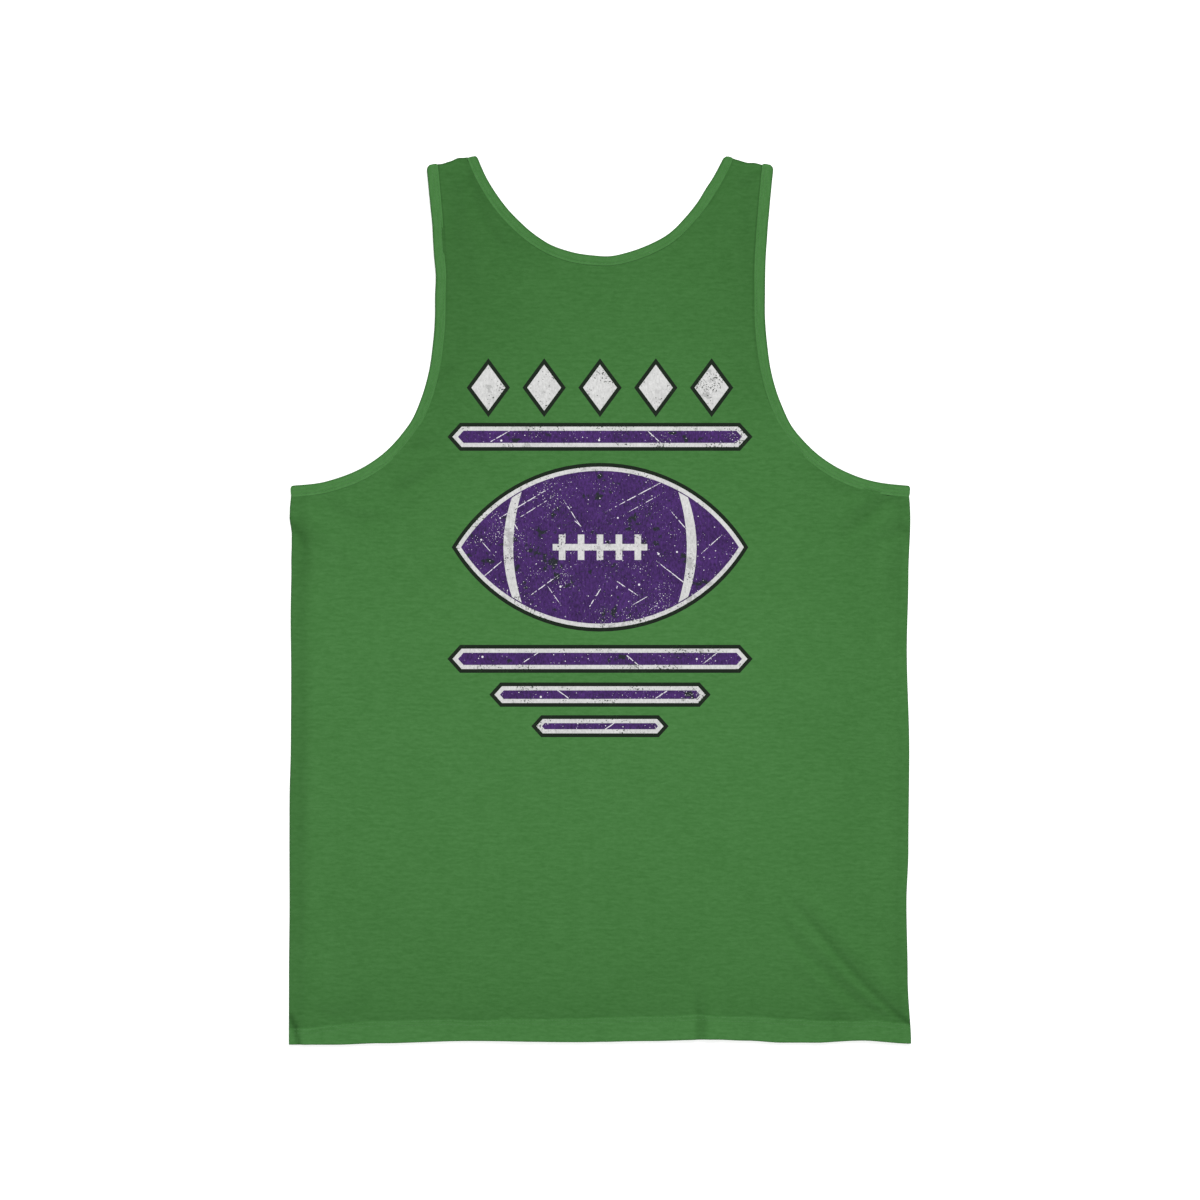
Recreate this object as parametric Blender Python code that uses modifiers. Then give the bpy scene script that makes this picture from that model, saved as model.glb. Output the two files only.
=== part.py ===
"""A football tank top, laid flat on its front with its back upwards.

Five sewn pieces lie in the layers of the real garment. The front panel lies on the surface and
the back panel over it. A folded binding runs round the neckline and round each armhole, and turns
over at the shoulder and at the underarm from the back layer to the front one.

+X runs across the back, +Y towards the shoulders and +Z up. Lengths are in millimetres, and are
made metres where a mesh or a modifier takes them.
"""

import math
from typing import NamedTuple

import bpy
from mathutils import Vector

MM = 0.001
COLLECTION_NAME = "Football tank top"

# The garment laid flat: half its chest, its hem and the place of the underarm.
HALF_CHEST = 255.0
HEM_Y = -366.6
UNDERARM_Y = 94.3

# The shoulder edge falls from the neck towards the armhole.
SHOULDER_ARM_X = 142.9
SHOULDER_ARM_Y = 358.0
SHOULDER_NECK_X = 101.5
SHOULDER_FALL = math.radians(11.0)

# Cloth and seams.
CLOTH = 1.0
HEM_CLOTH = 1.5
HEM_HEIGHT = 20.0
HEM_STEP = 1.5
SEAM_GAP = 0.3
BINDING_CLOTH = 1.6
NECK_BINDING_WIDTH = 7.6
ARMHOLE_BINDING_WIDTH = 8.8
BINDING_ROUNDING = 0.35

# Layers above the surface. A binding's front run lies on it, and its back run just clears that.
# The back panel's edges just clear the front panel, and the rest of it is lifted a little.
FRONT_RUN_Z = BINDING_CLOTH / 2
BACK_RUN_Z = FRONT_RUN_Z + BINDING_CLOTH + SEAM_GAP
TURN_Z = (BACK_RUN_Z + FRONT_RUN_Z) / 2
TURN_RADIUS = (BACK_RUN_Z - FRONT_RUN_Z) / 2
TURN_REACH = TURN_RADIUS + BINDING_CLOTH / 2
TURN_STEPS = 5
SHOULDER_TURN_PROUD = 0.6
BACK_EDGE_Z = CLOTH + SEAM_GAP
BACK_LIFT = 0.9
HEM_LIFT = HEM_CLOTH - CLOTH
SIDE_EASE = 14.0
SHOULDER_EASE = 9.0
UNDERARM_EASE_LOW = 45.0
UNDERARM_EASE_HIGH = 75.0

# The lofts' rows within the turned hem, how far up the hem's sway dies out, and where the row
# from the underarm meets the garment's centre.
HEM_ROWS = (0.0, 6.5, 13.0, HEM_HEIGHT - HEM_STEP, HEM_HEIGHT)
HEM_SWAY_EASE = 70.0
CENTRE_AT_UNDERARM_Y = 0.0
CURVE_STEPS = 48

# The neckline's and the armhole's Bezier handles: the directions at the seams are those of both
# layers, so that each binding's two runs meet in one turn.
NECK_SHOULDER_ANGLE = 68.0
ARM_SHOULDER_ANGLE = 87.0
ARM_UNDERARM_ANGLE = 177.4


class SideSway(NamedTuple):
    """How far the side edges stand out from half the chest, at one height."""

    y: float
    left: float
    right: float


class HemSway(NamedTuple):
    """How far the hem's edge lies above its lowest line, at one place across."""

    x: float
    rise: float


class Fold(NamedTuple):
    """A soft ridge of the back panel, or a trough where its height is negative."""

    start: tuple
    end: tuple
    half_width: float
    height: float


class Neckline(NamedTuple):
    """Half a neckline's lowest point and its two Bezier handles."""

    depth_y: float
    bottom_handle: float
    shoulder_handle: float


class Armhole(NamedTuple):
    """An armhole's narrowest point and the Bezier handles from underarm to shoulder."""

    waist: tuple
    underarm_handle: float
    below_waist: float
    above_waist: float
    shoulder_handle: float


SIDE_SWAYS = (
    SideSway(-366.6, 1.6, 1.6),
    SideSway(-310.0, 1.5, -1.2),
    SideSway(-250.0, 1.0, -2.2),
    SideSway(-206.0, 1.1, -0.6),
    SideSway(-124.0, -0.1, 0.1),
    SideSway(-41.0, -0.4, -1.9),
    SideSway(20.0, -0.7, -0.6),
    SideSway(70.0, 0.6, 1.1),
    SideSway(94.3, 0.0, 0.4),
)

HEM_SWAYS = (
    HemSway(-256.6, 0.0),
    HemSway(-218.0, 0.0),
    HemSway(-180.0, 1.3),
    HemSway(-106.0, 3.1),
    HemSway(-20.0, 2.1),
    HemSway(42.0, 3.0),
    HemSway(92.0, 4.3),
    HemSway(122.0, 3.3),
    HemSway(150.0, 1.7),
    HemSway(178.0, 1.7),
    HemSway(216.0, 3.4),
    HemSway(256.6, 0.8),
)

FOLDS = (
    # The ridges on each side of the creases at the hem's right end.
    Fold((170.0, -242.0), (250.0, -332.0), 9.0, 1.6),
    Fold((140.0, -268.0), (206.0, -340.0), 8.5, 1.2),
    Fold((250.0, -300.0), (176.0, -160.0), 17.0, 0.9),
    # Drawn up from the hem's left end.
    Fold((-238.0, -332.0), (-132.0, -152.0), 17.0, 1.6),
    Fold((-246.0, -310.0), (-196.0, -196.0), 13.0, 0.9),
    # Ripples that run up from the hem.
    Fold((91.0, -306.0), (92.0, -368.0), 8.0, 1.4),
    Fold((73.0, -320.0), (74.0, -368.0), 8.0, 0.8),
    Fold((8.0, -334.0), (9.0, -368.0), 9.0, 0.9),
    Fold((-67.0, -318.0), (-66.0, -368.0), 12.0, 0.8),
    Fold((-168.0, -322.0), (-176.0, -368.0), 12.0, 0.9),
    Fold((178.0, -340.0), (179.0, -368.0), 9.0, 0.8),
    # Drawn from the underarms and the armholes.
    Fold((-246.0, 72.0), (-190.0, 20.0), 10.0, 1.4),
    Fold((-140.0, 148.0), (-172.0, 76.0), 12.0, 1.1),
    Fold((240.0, 68.0), (190.0, 30.0), 10.0, 1.3),
    Fold((142.0, 150.0), (176.0, 84.0), 12.0, 1.0),
    # Down each strap, and from each end of the neckline.
    Fold((-120.0, 345.0), (-108.0, 242.0), 7.0, -0.5),
    Fold((121.0, 345.0), (117.0, 236.0), 7.0, -0.5),
    Fold((-90.0, 238.0), (-16.0, 262.0), 13.0, 0.8),
    Fold((92.0, 242.0), (22.0, 264.0), 13.0, 0.7),
    # Broad waves across the body.
    Fold((-226.0, -60.0), (-118.0, -26.0), 18.0, 0.9),
    Fold((222.0, -96.0), (110.0, -58.0), 18.0, 0.8),
    Fold((-110.0, -236.0), (40.0, -214.0), 20.0, 0.7),
    Fold((-30.0, -306.0), (110.0, -270.0), 16.0, 0.6),
)
FOLD_END_EASE = 30.0
FOLD_REACH = 3.0

BACK_NECK = Neckline(depth_y=284.0, bottom_handle=56.0, shoulder_handle=38.0)
FRONT_NECK = Neckline(depth_y=226.0, bottom_handle=62.0, shoulder_handle=70.0)
BACK_ARMHOLE = Armhole((136.3, 258.0), 130.0, 28.0, 34.0, 10.0)
FRONT_ARMHOLE = Armhole((126.0, 250.0), 146.0, 44.0, 50.0, 30.0)
FRONT_HEM_INSET = 0.8

# Finishes: sRGB levels and roughness.
BODY_GREEN = ((70, 120, 64), 0.92)
FRONT_GREEN = ((66, 114, 60), 0.92)
BINDING_GREEN = ((75, 126, 69), 0.88)


def smooth(value):
    """Eases from 0 to 1 as the value does."""
    value = min(max(value, 0.0), 1.0)
    return value * value * (3 - 2 * value)


def read_table(rows, place, column):
    """A column's value at a place, between rows in order of their first column."""
    for low, high in zip(rows, rows[1:]):
        if place <= high[0]:
            share = smooth((place - low[0]) / (high[0] - low[0]))
            return low[column] + share * (high[column] - low[column])
    return rows[-1][column]


def side_x(side, y):
    """The signed place of a side edge; side is -1 on the left and 1 on the right."""
    column = SideSway._fields.index("left" if side < 0 else "right")
    return side * (HALF_CHEST + read_table(SIDE_SWAYS, y, column))


def shoulder_y(x):
    """The height of the shoulder edge at x."""
    return SHOULDER_ARM_Y + (SHOULDER_ARM_X - abs(x)) * math.tan(SHOULDER_FALL)


def shoulder_normal(side):
    """The direction in which a shoulder edge faces."""
    return Vector((side * math.sin(SHOULDER_FALL), math.cos(SHOULDER_FALL)))


def handle(point, angle, length):
    """A Bezier handle at an angle, in degrees, and a length from its end."""
    angle = math.radians(angle)
    return Vector(point) + Vector((math.cos(angle), math.sin(angle))) * length


def curve(*stretches):
    """Closely spaced points along cubic Beziers that follow one another."""
    points = [Vector(stretches[0][0])]
    for start, leaving, arriving, end in stretches:
        for step in range(1, CURVE_STEPS + 1):
            t = step / CURVE_STEPS
            s = 1 - t
            point = Vector(start) * s**3 + leaving * (3 * t * s * s)
            points.append(point + arriving * (3 * t * t * s) + Vector(end) * t**3)
    return points


def neck_curve(neck):
    """Half a neckline's edge, from its lowest point to the right shoulder."""
    bottom = (0, neck.depth_y)
    shoulder = (SHOULDER_NECK_X, shoulder_y(SHOULDER_NECK_X))
    leaving = handle(bottom, 0, neck.bottom_handle)
    arriving = handle(shoulder, NECK_SHOULDER_ANGLE + 180, neck.shoulder_handle)
    return curve((bottom, leaving, arriving, shoulder))


def armhole_curve(armhole):
    """The right armhole's edge, from the underarm to the shoulder."""
    underarm = (HALF_CHEST, UNDERARM_Y)
    shoulder = (SHOULDER_ARM_X, SHOULDER_ARM_Y)
    below = (
        underarm,
        handle(underarm, ARM_UNDERARM_ANGLE, armhole.underarm_handle),
        handle(armhole.waist, -90, armhole.below_waist),
        armhole.waist,
    )
    above = (
        armhole.waist,
        handle(armhole.waist, 90, armhole.above_waist),
        handle(shoulder, ARM_SHOULDER_ANGLE + 180, armhole.shoulder_handle),
        shoulder,
    )
    return curve(below, above)


def beside(points, distance):
    """The line at a distance to the right of a line's direction."""
    shifted = []
    for index, point in enumerate(points):
        along = points[min(index + 1, len(points) - 1)] - points[max(index - 1, 0)]
        along.normalize()
        shifted.append(point + Vector((along.y, -along.x)) * distance)
    return shifted


def up_to_shoulder(points):
    """The line lengthened if need be, then cut where it meets the shoulder edge."""
    beyond = points[-1] + (points[-1] - points[-2]).normalized() * SHOULDER_NECK_X
    line = points + [beyond]
    for index, (low, high) in enumerate(zip(line, line[1:])):
        low_gap = shoulder_y(low.x) - low.y
        high_gap = shoulder_y(high.x) - high.y
        if high_gap <= 0 < low_gap:
            return line[: index + 1] + [low.lerp(high, low_gap / (low_gap - high_gap))]
    return line


def spread(points, count):
    """Evenly spaced points along a line, count stretches in all."""
    lengths = [0.0]
    for low, high in zip(points, points[1:]):
        lengths.append(lengths[-1] + (high - low).length)
    spaced = []
    index = 0
    for step in range(count + 1):
        target = lengths[-1] * step / count
        while index < len(points) - 2 and lengths[index + 1] < target:
            index += 1
        share = (target - lengths[index]) / (lengths[index + 1] - lengths[index])
        spaced.append(points[index].lerp(points[index + 1], share))
    return spaced


def mirrored(points, side):
    """The right half's points, on the given side."""
    return [Vector((side * point.x, point.y)) for point in points]


def drawn_in(end, neighbour, distance):
    """A line's end, moved back towards its neighbour."""
    return end + (neighbour - end).normalized() * distance


def fold_height(x, y):
    """The folds' height above the back panel's plain form."""
    height = 0.0
    for fold in FOLDS:
        run = Vector(fold.end) - Vector(fold.start)
        offset = Vector((x, y)) - Vector(fold.start)
        along = offset.dot(run) / run.length
        across = abs(offset.cross(run)) / run.length / fold.half_width
        if across < FOLD_REACH:
            beyond = max(-along, along - run.length, 0.0)
            height += fold.height * math.exp(-across * across) * (1 - smooth(beyond / FOLD_END_EASE))
    return height


def back_lift(x, y):
    """The back panel's underside above its edges' level, which clears the front panel."""
    from_side = abs(side_x(math.copysign(1, x), y)) - abs(x)
    from_underarm = (y - UNDERARM_EASE_LOW) / (UNDERARM_EASE_HIGH - UNDERARM_EASE_LOW)
    ease = max(smooth(from_side / SIDE_EASE), smooth(from_underarm))
    ease *= smooth((shoulder_y(x) - y) / SHOULDER_EASE)
    hem_ease = 1 - smooth((y - HEM_Y - HEM_HEIGHT) / SIDE_EASE)
    return max(ease * (BACK_LIFT + fold_height(x, y)), hem_ease * HEM_LIFT)


def front_lift(x, y):
    """The front panel's underside, which lies flat all over."""
    return 0.0


class Layer:
    """The cut of the garment's front or back: its edges, and the rows and columns of its loft.

    Body rows climb from the hem to the underarm, chest rows from there to the neckline's lowest
    point, and strap rows along the neckline to the shoulder. The bindings take their stations
    from the upper rows' ends, so that their edges follow the panel's.
    """

    def __init__(self, neck, armhole, body_rows, chest_rows, strap_rows, columns, hem_inset):
        self.neck = neck_curve(neck)
        self.armhole = armhole_curve(armhole)
        self.body_rows = body_rows
        self.neck_steps = strap_rows
        self.armhole_steps = chest_rows + strap_rows
        self.columns = columns
        self.hem_inset = hem_inset
        chest_step = (self.neck_line(NECK_BINDING_WIDTH + SEAM_GAP)[0].y - CENTRE_AT_UNDERARM_Y) / chest_rows
        centre = [Vector((0, CENTRE_AT_UNDERARM_Y + chest_step * row)) for row in range(chest_rows)]
        self.upper_inner = centre + self.neck_line(NECK_BINDING_WIDTH + SEAM_GAP)
        self.upper_outer = self.armhole_line(ARMHOLE_BINDING_WIDTH + SEAM_GAP)

    def neck_line(self, inset):
        """Points beside half the neckline, in from its edge, up to the shoulder."""
        return spread(up_to_shoulder(beside(self.neck, inset)), self.neck_steps)

    def armhole_line(self, inset):
        """Points beside the right armhole, in from its edge, up to the shoulder."""
        return spread(up_to_shoulder(beside(self.armhole, -inset)), self.armhole_steps)

    def body_row(self, side, share):
        """A row between the turned hem and the underarm: its inner and outer point."""
        low = HEM_Y + HEM_HEIGHT
        inner_y = low + (CENTRE_AT_UNDERARM_Y - low) * share
        outer_y = low + (self.upper_outer[0].y - low) * share
        return Vector((0, inner_y)), Vector((side_x(side, outer_y), outer_y))

    def rows(self, side):
        """Every row of one half, from hem to shoulder, as its inner and outer point."""
        rows = [(Vector((0, HEM_Y + up)), Vector((side_x(side, HEM_Y + up), HEM_Y + up))) for up in HEM_ROWS]
        rows += [self.body_row(side, row / self.body_rows) for row in range(1, self.body_rows)]
        outer = mirrored(self.upper_outer, side)
        outer[0].x = side_x(side, outer[0].y)
        return rows + list(zip(mirrored(self.upper_inner, side), outer))

    def row_points(self, inner, outer):
        """The points of a row, with the hem's sway near the hem."""
        points = []
        for column in range(self.columns + 1):
            point = inner.lerp(outer, column / self.columns)
            share = 1 - smooth((point.y - HEM_Y) / HEM_SWAY_EASE)
            rise = read_table(HEM_SWAYS, point.x, HemSway._fields.index("rise"))
            points.append(Vector((point.x, point.y + share * (rise + self.hem_inset))))
        return points

    def neck_run(self):
        """The binding's two edges along the neckline, from the left shoulder to the right."""
        edges = []
        for inset in (0.0, NECK_BINDING_WIDTH):
            half = self.neck_line(inset)
            half[-1] = drawn_in(half[-1], half[-2], TURN_REACH - SHOULDER_TURN_PROUD)
            edges.append(mirrored(half, -1)[:0:-1] + half)
        return list(zip(*edges))

    def armhole_run(self, side):
        """The binding's two edges along an armhole, from the underarm to the shoulder."""
        edges = []
        for inset in (0.0, ARMHOLE_BINDING_WIDTH):
            line = self.armhole_line(inset)
            line[0] = drawn_in(line[0], line[1], TURN_REACH)
            line[-1] = drawn_in(line[-1], line[-2], TURN_REACH - SHOULDER_TURN_PROUD)
            edges.append(mirrored(line, side))
        return list(zip(*edges))


def linear(level):
    """An sRGB level from 0 to 255 as linear light."""
    level /= 255
    return level / 12.92 if level <= 0.04045 else ((level + 0.055) / 1.055) ** 2.4


def new_material(name, colour, roughness):
    """A cloth finish from its sRGB colour and its roughness."""
    material = bpy.data.materials.new(name)
    material.use_nodes = True
    shader = material.node_tree.nodes["Principled BSDF"]
    shader.inputs["Base Color"].default_value = [*map(linear, colour), 1.0]
    shader.inputs["Roughness"].default_value = roughness
    shader.inputs["Metallic"].default_value = 0.0
    return material


def new_piece(name, collection, vertices, faces, z, finish):
    """A piece from points in millimetres, placed at its height, with its own material."""
    mesh = bpy.data.meshes.new(name)
    mesh.from_pydata([Vector(vertex) * MM for vertex in vertices], [], faces)
    mesh.shade_smooth()
    mesh.materials.append(new_material(name, *finish))
    piece = bpy.data.objects.new(name, mesh)
    piece.location.z = z * MM
    collection.objects.link(piece)
    return piece


def add_wall(piece, thickness, offset):
    """Gives an open surface its wall, above it where the offset is 1 and about it where it is 0."""
    wall = piece.modifiers.new("Wall", "SOLIDIFY")
    wall.thickness = thickness * MM
    wall.offset = offset
    wall.use_even_offset = True
    return wall


def build_panel(name, collection, layer, z, lift, finish):
    """A panel lofted between its centre and its edges, with its turned hem thicker."""
    indices = {}
    faces = []
    hem_points = []
    for side in (-1, 1):
        rows = []
        for inner, outer in layer.rows(side):
            keys = [(round(point.x, 3), round(point.y, 3)) for point in layer.row_points(inner, outer)]
            rows.append([indices.setdefault(key, len(indices)) for key in keys])
        for low, high in zip(rows, rows[1:]):
            for column in range(layer.columns):
                corners = (low[column], low[column + 1], high[column + 1], high[column])
                faces.append(corners[::side])
        hem_points += sum(rows[: len(HEM_ROWS) - 1], [])
    panel = new_piece(name, collection, [(x, y, lift(x, y)) for x, y in indices], faces, z, finish)
    hem = panel.vertex_groups.new(name="Turned hem")
    hem.add(hem_points, 1.0, "REPLACE")
    wall = add_wall(panel, HEM_CLOTH, 1.0)
    wall.vertex_group = hem.name
    wall.thickness_vertex_group = CLOTH / HEM_CLOTH
    return panel


def turn(edges, outwards):
    """The stations where a binding turns over, from its back run to its front run."""
    stations = []
    for step in range(1, TURN_STEPS):
        angle = math.pi * step / TURN_STEPS
        shift = outwards * TURN_RADIUS * math.sin(angle)
        stations.append((edges[0] + shift, edges[1] + shift, TURN_RADIUS * math.cos(angle)))
    return stations


def build_binding(name, collection, back, front, far_outwards, near_outwards, finish):
    """A folded binding: out along its back run, over, back along its front run, and over."""
    stations = [(opening, panel, TURN_RADIUS) for opening, panel in back]
    stations += turn(back[-1], far_outwards)
    stations += [(opening, panel, -TURN_RADIUS) for opening, panel in reversed(front)]
    stations += reversed(turn(back[0], near_outwards))
    vertices = []
    for opening, panel, height in stations:
        vertices += [(*point, height) for point in (opening, opening.lerp(panel, 0.5), panel)]
    faces = []
    for station in range(len(stations)):
        here = 3 * station
        there = 3 * ((station + 1) % len(stations))
        faces += [(here + strand, here + strand + 1, there + strand + 1, there + strand) for strand in (0, 1)]
    binding = new_piece(name, collection, vertices, faces, TURN_Z, finish)
    add_wall(binding, BINDING_CLOTH, 0.0)
    rounding = binding.modifiers.new("Rounding", "BEVEL")
    rounding.width = BINDING_ROUNDING * MM
    rounding.segments = 1
    rounding.limit_method = "ANGLE"
    rounding.angle_limit = math.radians(60)
    return binding


def main():
    """Clears the scene and builds the garment in its own collection."""
    for obj in list(bpy.data.objects):
        bpy.data.objects.remove(obj, do_unlink=True)
    collection = bpy.data.collections.new(COLLECTION_NAME)
    bpy.context.scene.collection.children.link(collection)

    back = Layer(
        BACK_NECK, BACK_ARMHOLE, body_rows=34, chest_rows=18, strap_rows=14, columns=18, hem_inset=0.0
    )
    front = Layer(
        FRONT_NECK, FRONT_ARMHOLE, body_rows=8, chest_rows=14, strap_rows=18, columns=8, hem_inset=FRONT_HEM_INSET
    )
    build_panel("back_panel", collection, back, BACK_EDGE_Z, back_lift, BODY_GREEN)
    build_panel("front_panel", collection, front, 0.0, front_lift, FRONT_GREEN)
    build_binding(
        "neck_binding",
        collection,
        back.neck_run(),
        front.neck_run(),
        shoulder_normal(1),
        shoulder_normal(-1),
        BINDING_GREEN,
    )
    for side, word in ((-1, "left"), (1, "right")):
        build_binding(
            f"armhole_binding_{word}",
            collection,
            back.armhole_run(side),
            front.armhole_run(side),
            shoulder_normal(side),
            Vector((side, 0)),
            BINDING_GREEN,
        )


main()
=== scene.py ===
"""Football tank top: the looks of the laid-out garment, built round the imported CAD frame.

The garment lies on a pale floor with its back upwards: +X runs across it, +Y towards the shoulders
and +Z up. Sizes are in millimetres, and are made metres where a mesh, a modifier or a light takes them.
"""

from __future__ import annotations

import logging
import math
from collections.abc import Callable, Sequence
from dataclasses import dataclass, field
from enum import Enum

import bpy
import numpy as np
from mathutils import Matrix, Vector, noise
from mathutils.bvhtree import BVHTree

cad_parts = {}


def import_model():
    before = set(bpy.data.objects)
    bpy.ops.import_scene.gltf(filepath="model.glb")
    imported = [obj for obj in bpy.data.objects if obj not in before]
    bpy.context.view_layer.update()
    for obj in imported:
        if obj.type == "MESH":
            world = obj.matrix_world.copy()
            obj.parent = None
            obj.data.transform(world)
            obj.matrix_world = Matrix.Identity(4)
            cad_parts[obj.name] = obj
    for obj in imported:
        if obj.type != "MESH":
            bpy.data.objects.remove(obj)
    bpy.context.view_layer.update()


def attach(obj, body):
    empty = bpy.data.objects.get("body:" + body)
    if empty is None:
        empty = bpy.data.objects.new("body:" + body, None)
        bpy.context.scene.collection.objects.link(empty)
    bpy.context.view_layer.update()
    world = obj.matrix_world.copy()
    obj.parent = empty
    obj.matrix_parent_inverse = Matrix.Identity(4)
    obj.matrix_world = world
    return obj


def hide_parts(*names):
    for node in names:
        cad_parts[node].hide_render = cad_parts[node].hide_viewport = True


MM = 0.001
# A height well above the garment, in metres, and as far below it.
CLEAR = 0.05
BODY = "root"
LOG = logging.getLogger("tank_top")

Array = np.ndarray
Pair = tuple[float, float]
Triple = tuple[float, float, float]
Table = tuple[Pair, ...]
Outline = list[Pair]
Face = tuple[int, ...]
Piece = bpy.types.Object
Socket = bpy.types.NodeSocket
Measures = dict[str, Array]
Factor = Callable[[Measures], Array]
Shadows = tuple[tuple, ...]


class Layer(Enum):
    """The garment's two layers as it lies."""

    BACK = "back"
    FRONT = "front"


class Side(Enum):
    """The side as the picture shows it, with its sign along X."""

    LEFT = -1
    RIGHT = 1


class Slot(Enum):
    """The material slots."""

    BODY = "jersey_body"
    BINDING = "jersey_binding"
    THREAD = "sewing_thread"
    PURPLE = "ink_purple"
    WHITE = "ink_white"
    DARK = "ink_dark"


def smooth(value: Array | float) -> Array:
    """Eases from 0 to 1 as the value does."""
    clipped = np.clip(value, 0.0, 1.0)
    return clipped * clipped * (3 - 2 * clipped)


def bell(value: Array, width: float) -> Array:
    """A soft peak, 1 high where the value is 0."""
    return np.exp(-((value / width) ** 2))


def unit(vectors: Array) -> Array:
    """The vectors at a length of 1."""
    return vectors / np.linalg.norm(vectors, axis=-1, keepdims=True)


def read_table(rows: Table, places: Array) -> Array:
    """Reads a table of (place, value) rows, easing between them.

    Args:
        rows: The table, in order of place.
        places: Where to read it.

    Returns:
        The value at each place.
    """
    keys, values = np.array(rows).T
    index = np.clip(np.searchsorted(keys, places) - 1, 0, len(keys) - 2)
    share = smooth((places - keys[index]) / (keys[index + 1] - keys[index]))
    return values[index] + share * (values[index + 1] - values[index])


def linear(level: float) -> float:
    """An sRGB level from 0 to 255 as linear light."""
    level /= 255
    return level / 12.92 if level <= 0.04045 else ((level + 0.055) / 1.055) ** 2.4


def curve(start: Pair, leaving: Pair, arriving: Pair, end: Pair, steps: int) -> Array:
    """Evenly stepped points along a cubic curve.

    Args:
        start: Where it starts.
        leaving: The corner that it leaves towards.
        arriving: The corner that it arrives from.
        end: Where it ends.
        steps: How many steps it takes.

    Returns:
        The points, one more than the steps.
    """
    first, second, third, last = map(np.array, (start, leaving, arriving, end))
    t = (np.arange(steps + 1) / steps)[:, None]
    s = 1 - t
    return s**3 * first + 3 * s * s * t * second + 3 * s * t * t * third + t**3 * last


def polar(origin: Pair, angle: float, length: float) -> Pair:
    """A point at an angle, in degrees, and a distance from an origin."""
    turn = math.radians(angle)
    return origin[0] + length * math.cos(turn), origin[1] + length * math.sin(turn)


def beside(line: Array, distance: float) -> Array:
    """The line shifted to the right of its direction by a distance."""
    along = unit(np.gradient(line, axis=0))
    return line + np.stack([along[:, 1], -along[:, 0]], axis=1) * distance


def lengths_along(line: Array) -> Array:
    """How far along a line each of its points lies."""
    return np.concatenate([[0.0], np.cumsum(np.linalg.norm(np.diff(line, axis=0), axis=1))])


def spread(line: Array, count: int) -> Array:
    """Spaces a line's points evenly.

    Args:
        line: The line.
        count: How many stretches it gets.

    Returns:
        The new line.
    """
    lengths = lengths_along(line)
    places = np.linspace(0, lengths[-1], count + 1)
    return np.stack([np.interp(places, lengths, values) for values in line.T], axis=1)


def mirrored(line: Array, side: Side) -> Array:
    """A line of the right half, on the given side."""
    return line * np.array([side.value, 1.0])


def distance_to(line: Array, x: Array, y: Array) -> tuple[Array, Array]:
    """How far points lie from a line of straight stretches.

    Args:
        line: The line's corners.
        x: The points' places across.
        y: The points' places up.

    Returns:
        Each point's distance, and the nearest place on the line, counted in corners from its start.
    """
    nearest = np.full(x.shape, np.inf)
    place = np.zeros(x.shape)
    for index, (low, high) in enumerate(zip(line, line[1:])):
        run = high - low
        share = ((x - low[0]) * run[0] + (y - low[1]) * run[1]) / max(run @ run, 1e-9)
        share = np.clip(share, 0, 1)
        gap = np.hypot(x - low[0] - share * run[0], y - low[1] - share * run[1])
        closer = gap < nearest
        nearest = np.where(closer, gap, nearest)
        place = np.where(closer, index + share, place)
    return nearest, place


# How far each side edge stands outside the straight cut, from the hem up.
SIDE_SWAY: dict[Side, Table] = {
    Side.LEFT: (
        (-366.6, 1.6), (-310, 1.5), (-250, 1), (-206, 1.1), (-124, -0.1), (-41, -0.4), (20, -0.7),
        (34, -0.5), (46, -0.8), (57, -1.1), (67, 0.9), (76, 0.8), (87, -0.4), (94.3, -0.5),
    ),
    Side.RIGHT: (
        (-366.6, 1.6), (-310, -1.2), (-250, -2.2), (-206, -0.6), (-124, 0.1), (-41, -1.9), (20, -0.6),
        (70, 1.1), (78, 0.9), (88, 0), (94.3, 0),
    ),
}
# How far the straps' ends sway up or down, from left to right.
SHOULDER_SWAY: Table = (
    (-138, 0), (-130, -0.7), (-124, 0), (-117, 1.5), (-111, 0.7), (-107, 0), (107, 0), (112, -0.7),
    (121, -1.5), (128, -0.5), (134, -0.9), (138, 0),
)
# How far the hem's edge lies above its lowest line, from left to right.
HEM_RISE: Table = (
    (-256.6, 0), (-218, 0), (-180, 1.3), (-106, 3.1), (-20, 2.1), (42, 3), (92, 4.3), (122, 3.3),
    (150, 1.7), (178, 1.7), (216, 3.4), (256.6, 0.8),
)
# How far above its edge the turned hem ends: it was turned a little unevenly.
HEM_TOP: Table = (
    (-256.6, 14.5), (-237, 14.5), (-222, 16.8), (-206, 18.2), (-184, 19.2), (-131, 19), (-105, 17.6),
    (-92, 17.8), (-79, 19.6), (-40, 19.8), (10, 21.1), (66, 21.1), (82, 21.6), (94, 20.2),
    (132, 20.9), (160, 20.2), (185, 18.6), (211, 16.6), (225, 17.8), (256.6, 17.2),
)
# Each neckline's lowest point, and how far its curve leaves that point and nears the shoulder straight.
NECKLINES = {Layer.BACK: (284.0, 56.0, 38.0), Layer.FRONT: (226.0, 62.0, 70.0)}
# Each armhole's narrowest point, and the straight reach of its curves there and at both ends.
ARMHOLES = {
    Layer.BACK: ((136.3, 258.0), 130.0, 28.0, 34.0, 10.0),
    Layer.FRONT: ((126.0, 250.0), 146.0, 44.0, 50.0, 30.0),
}


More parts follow.
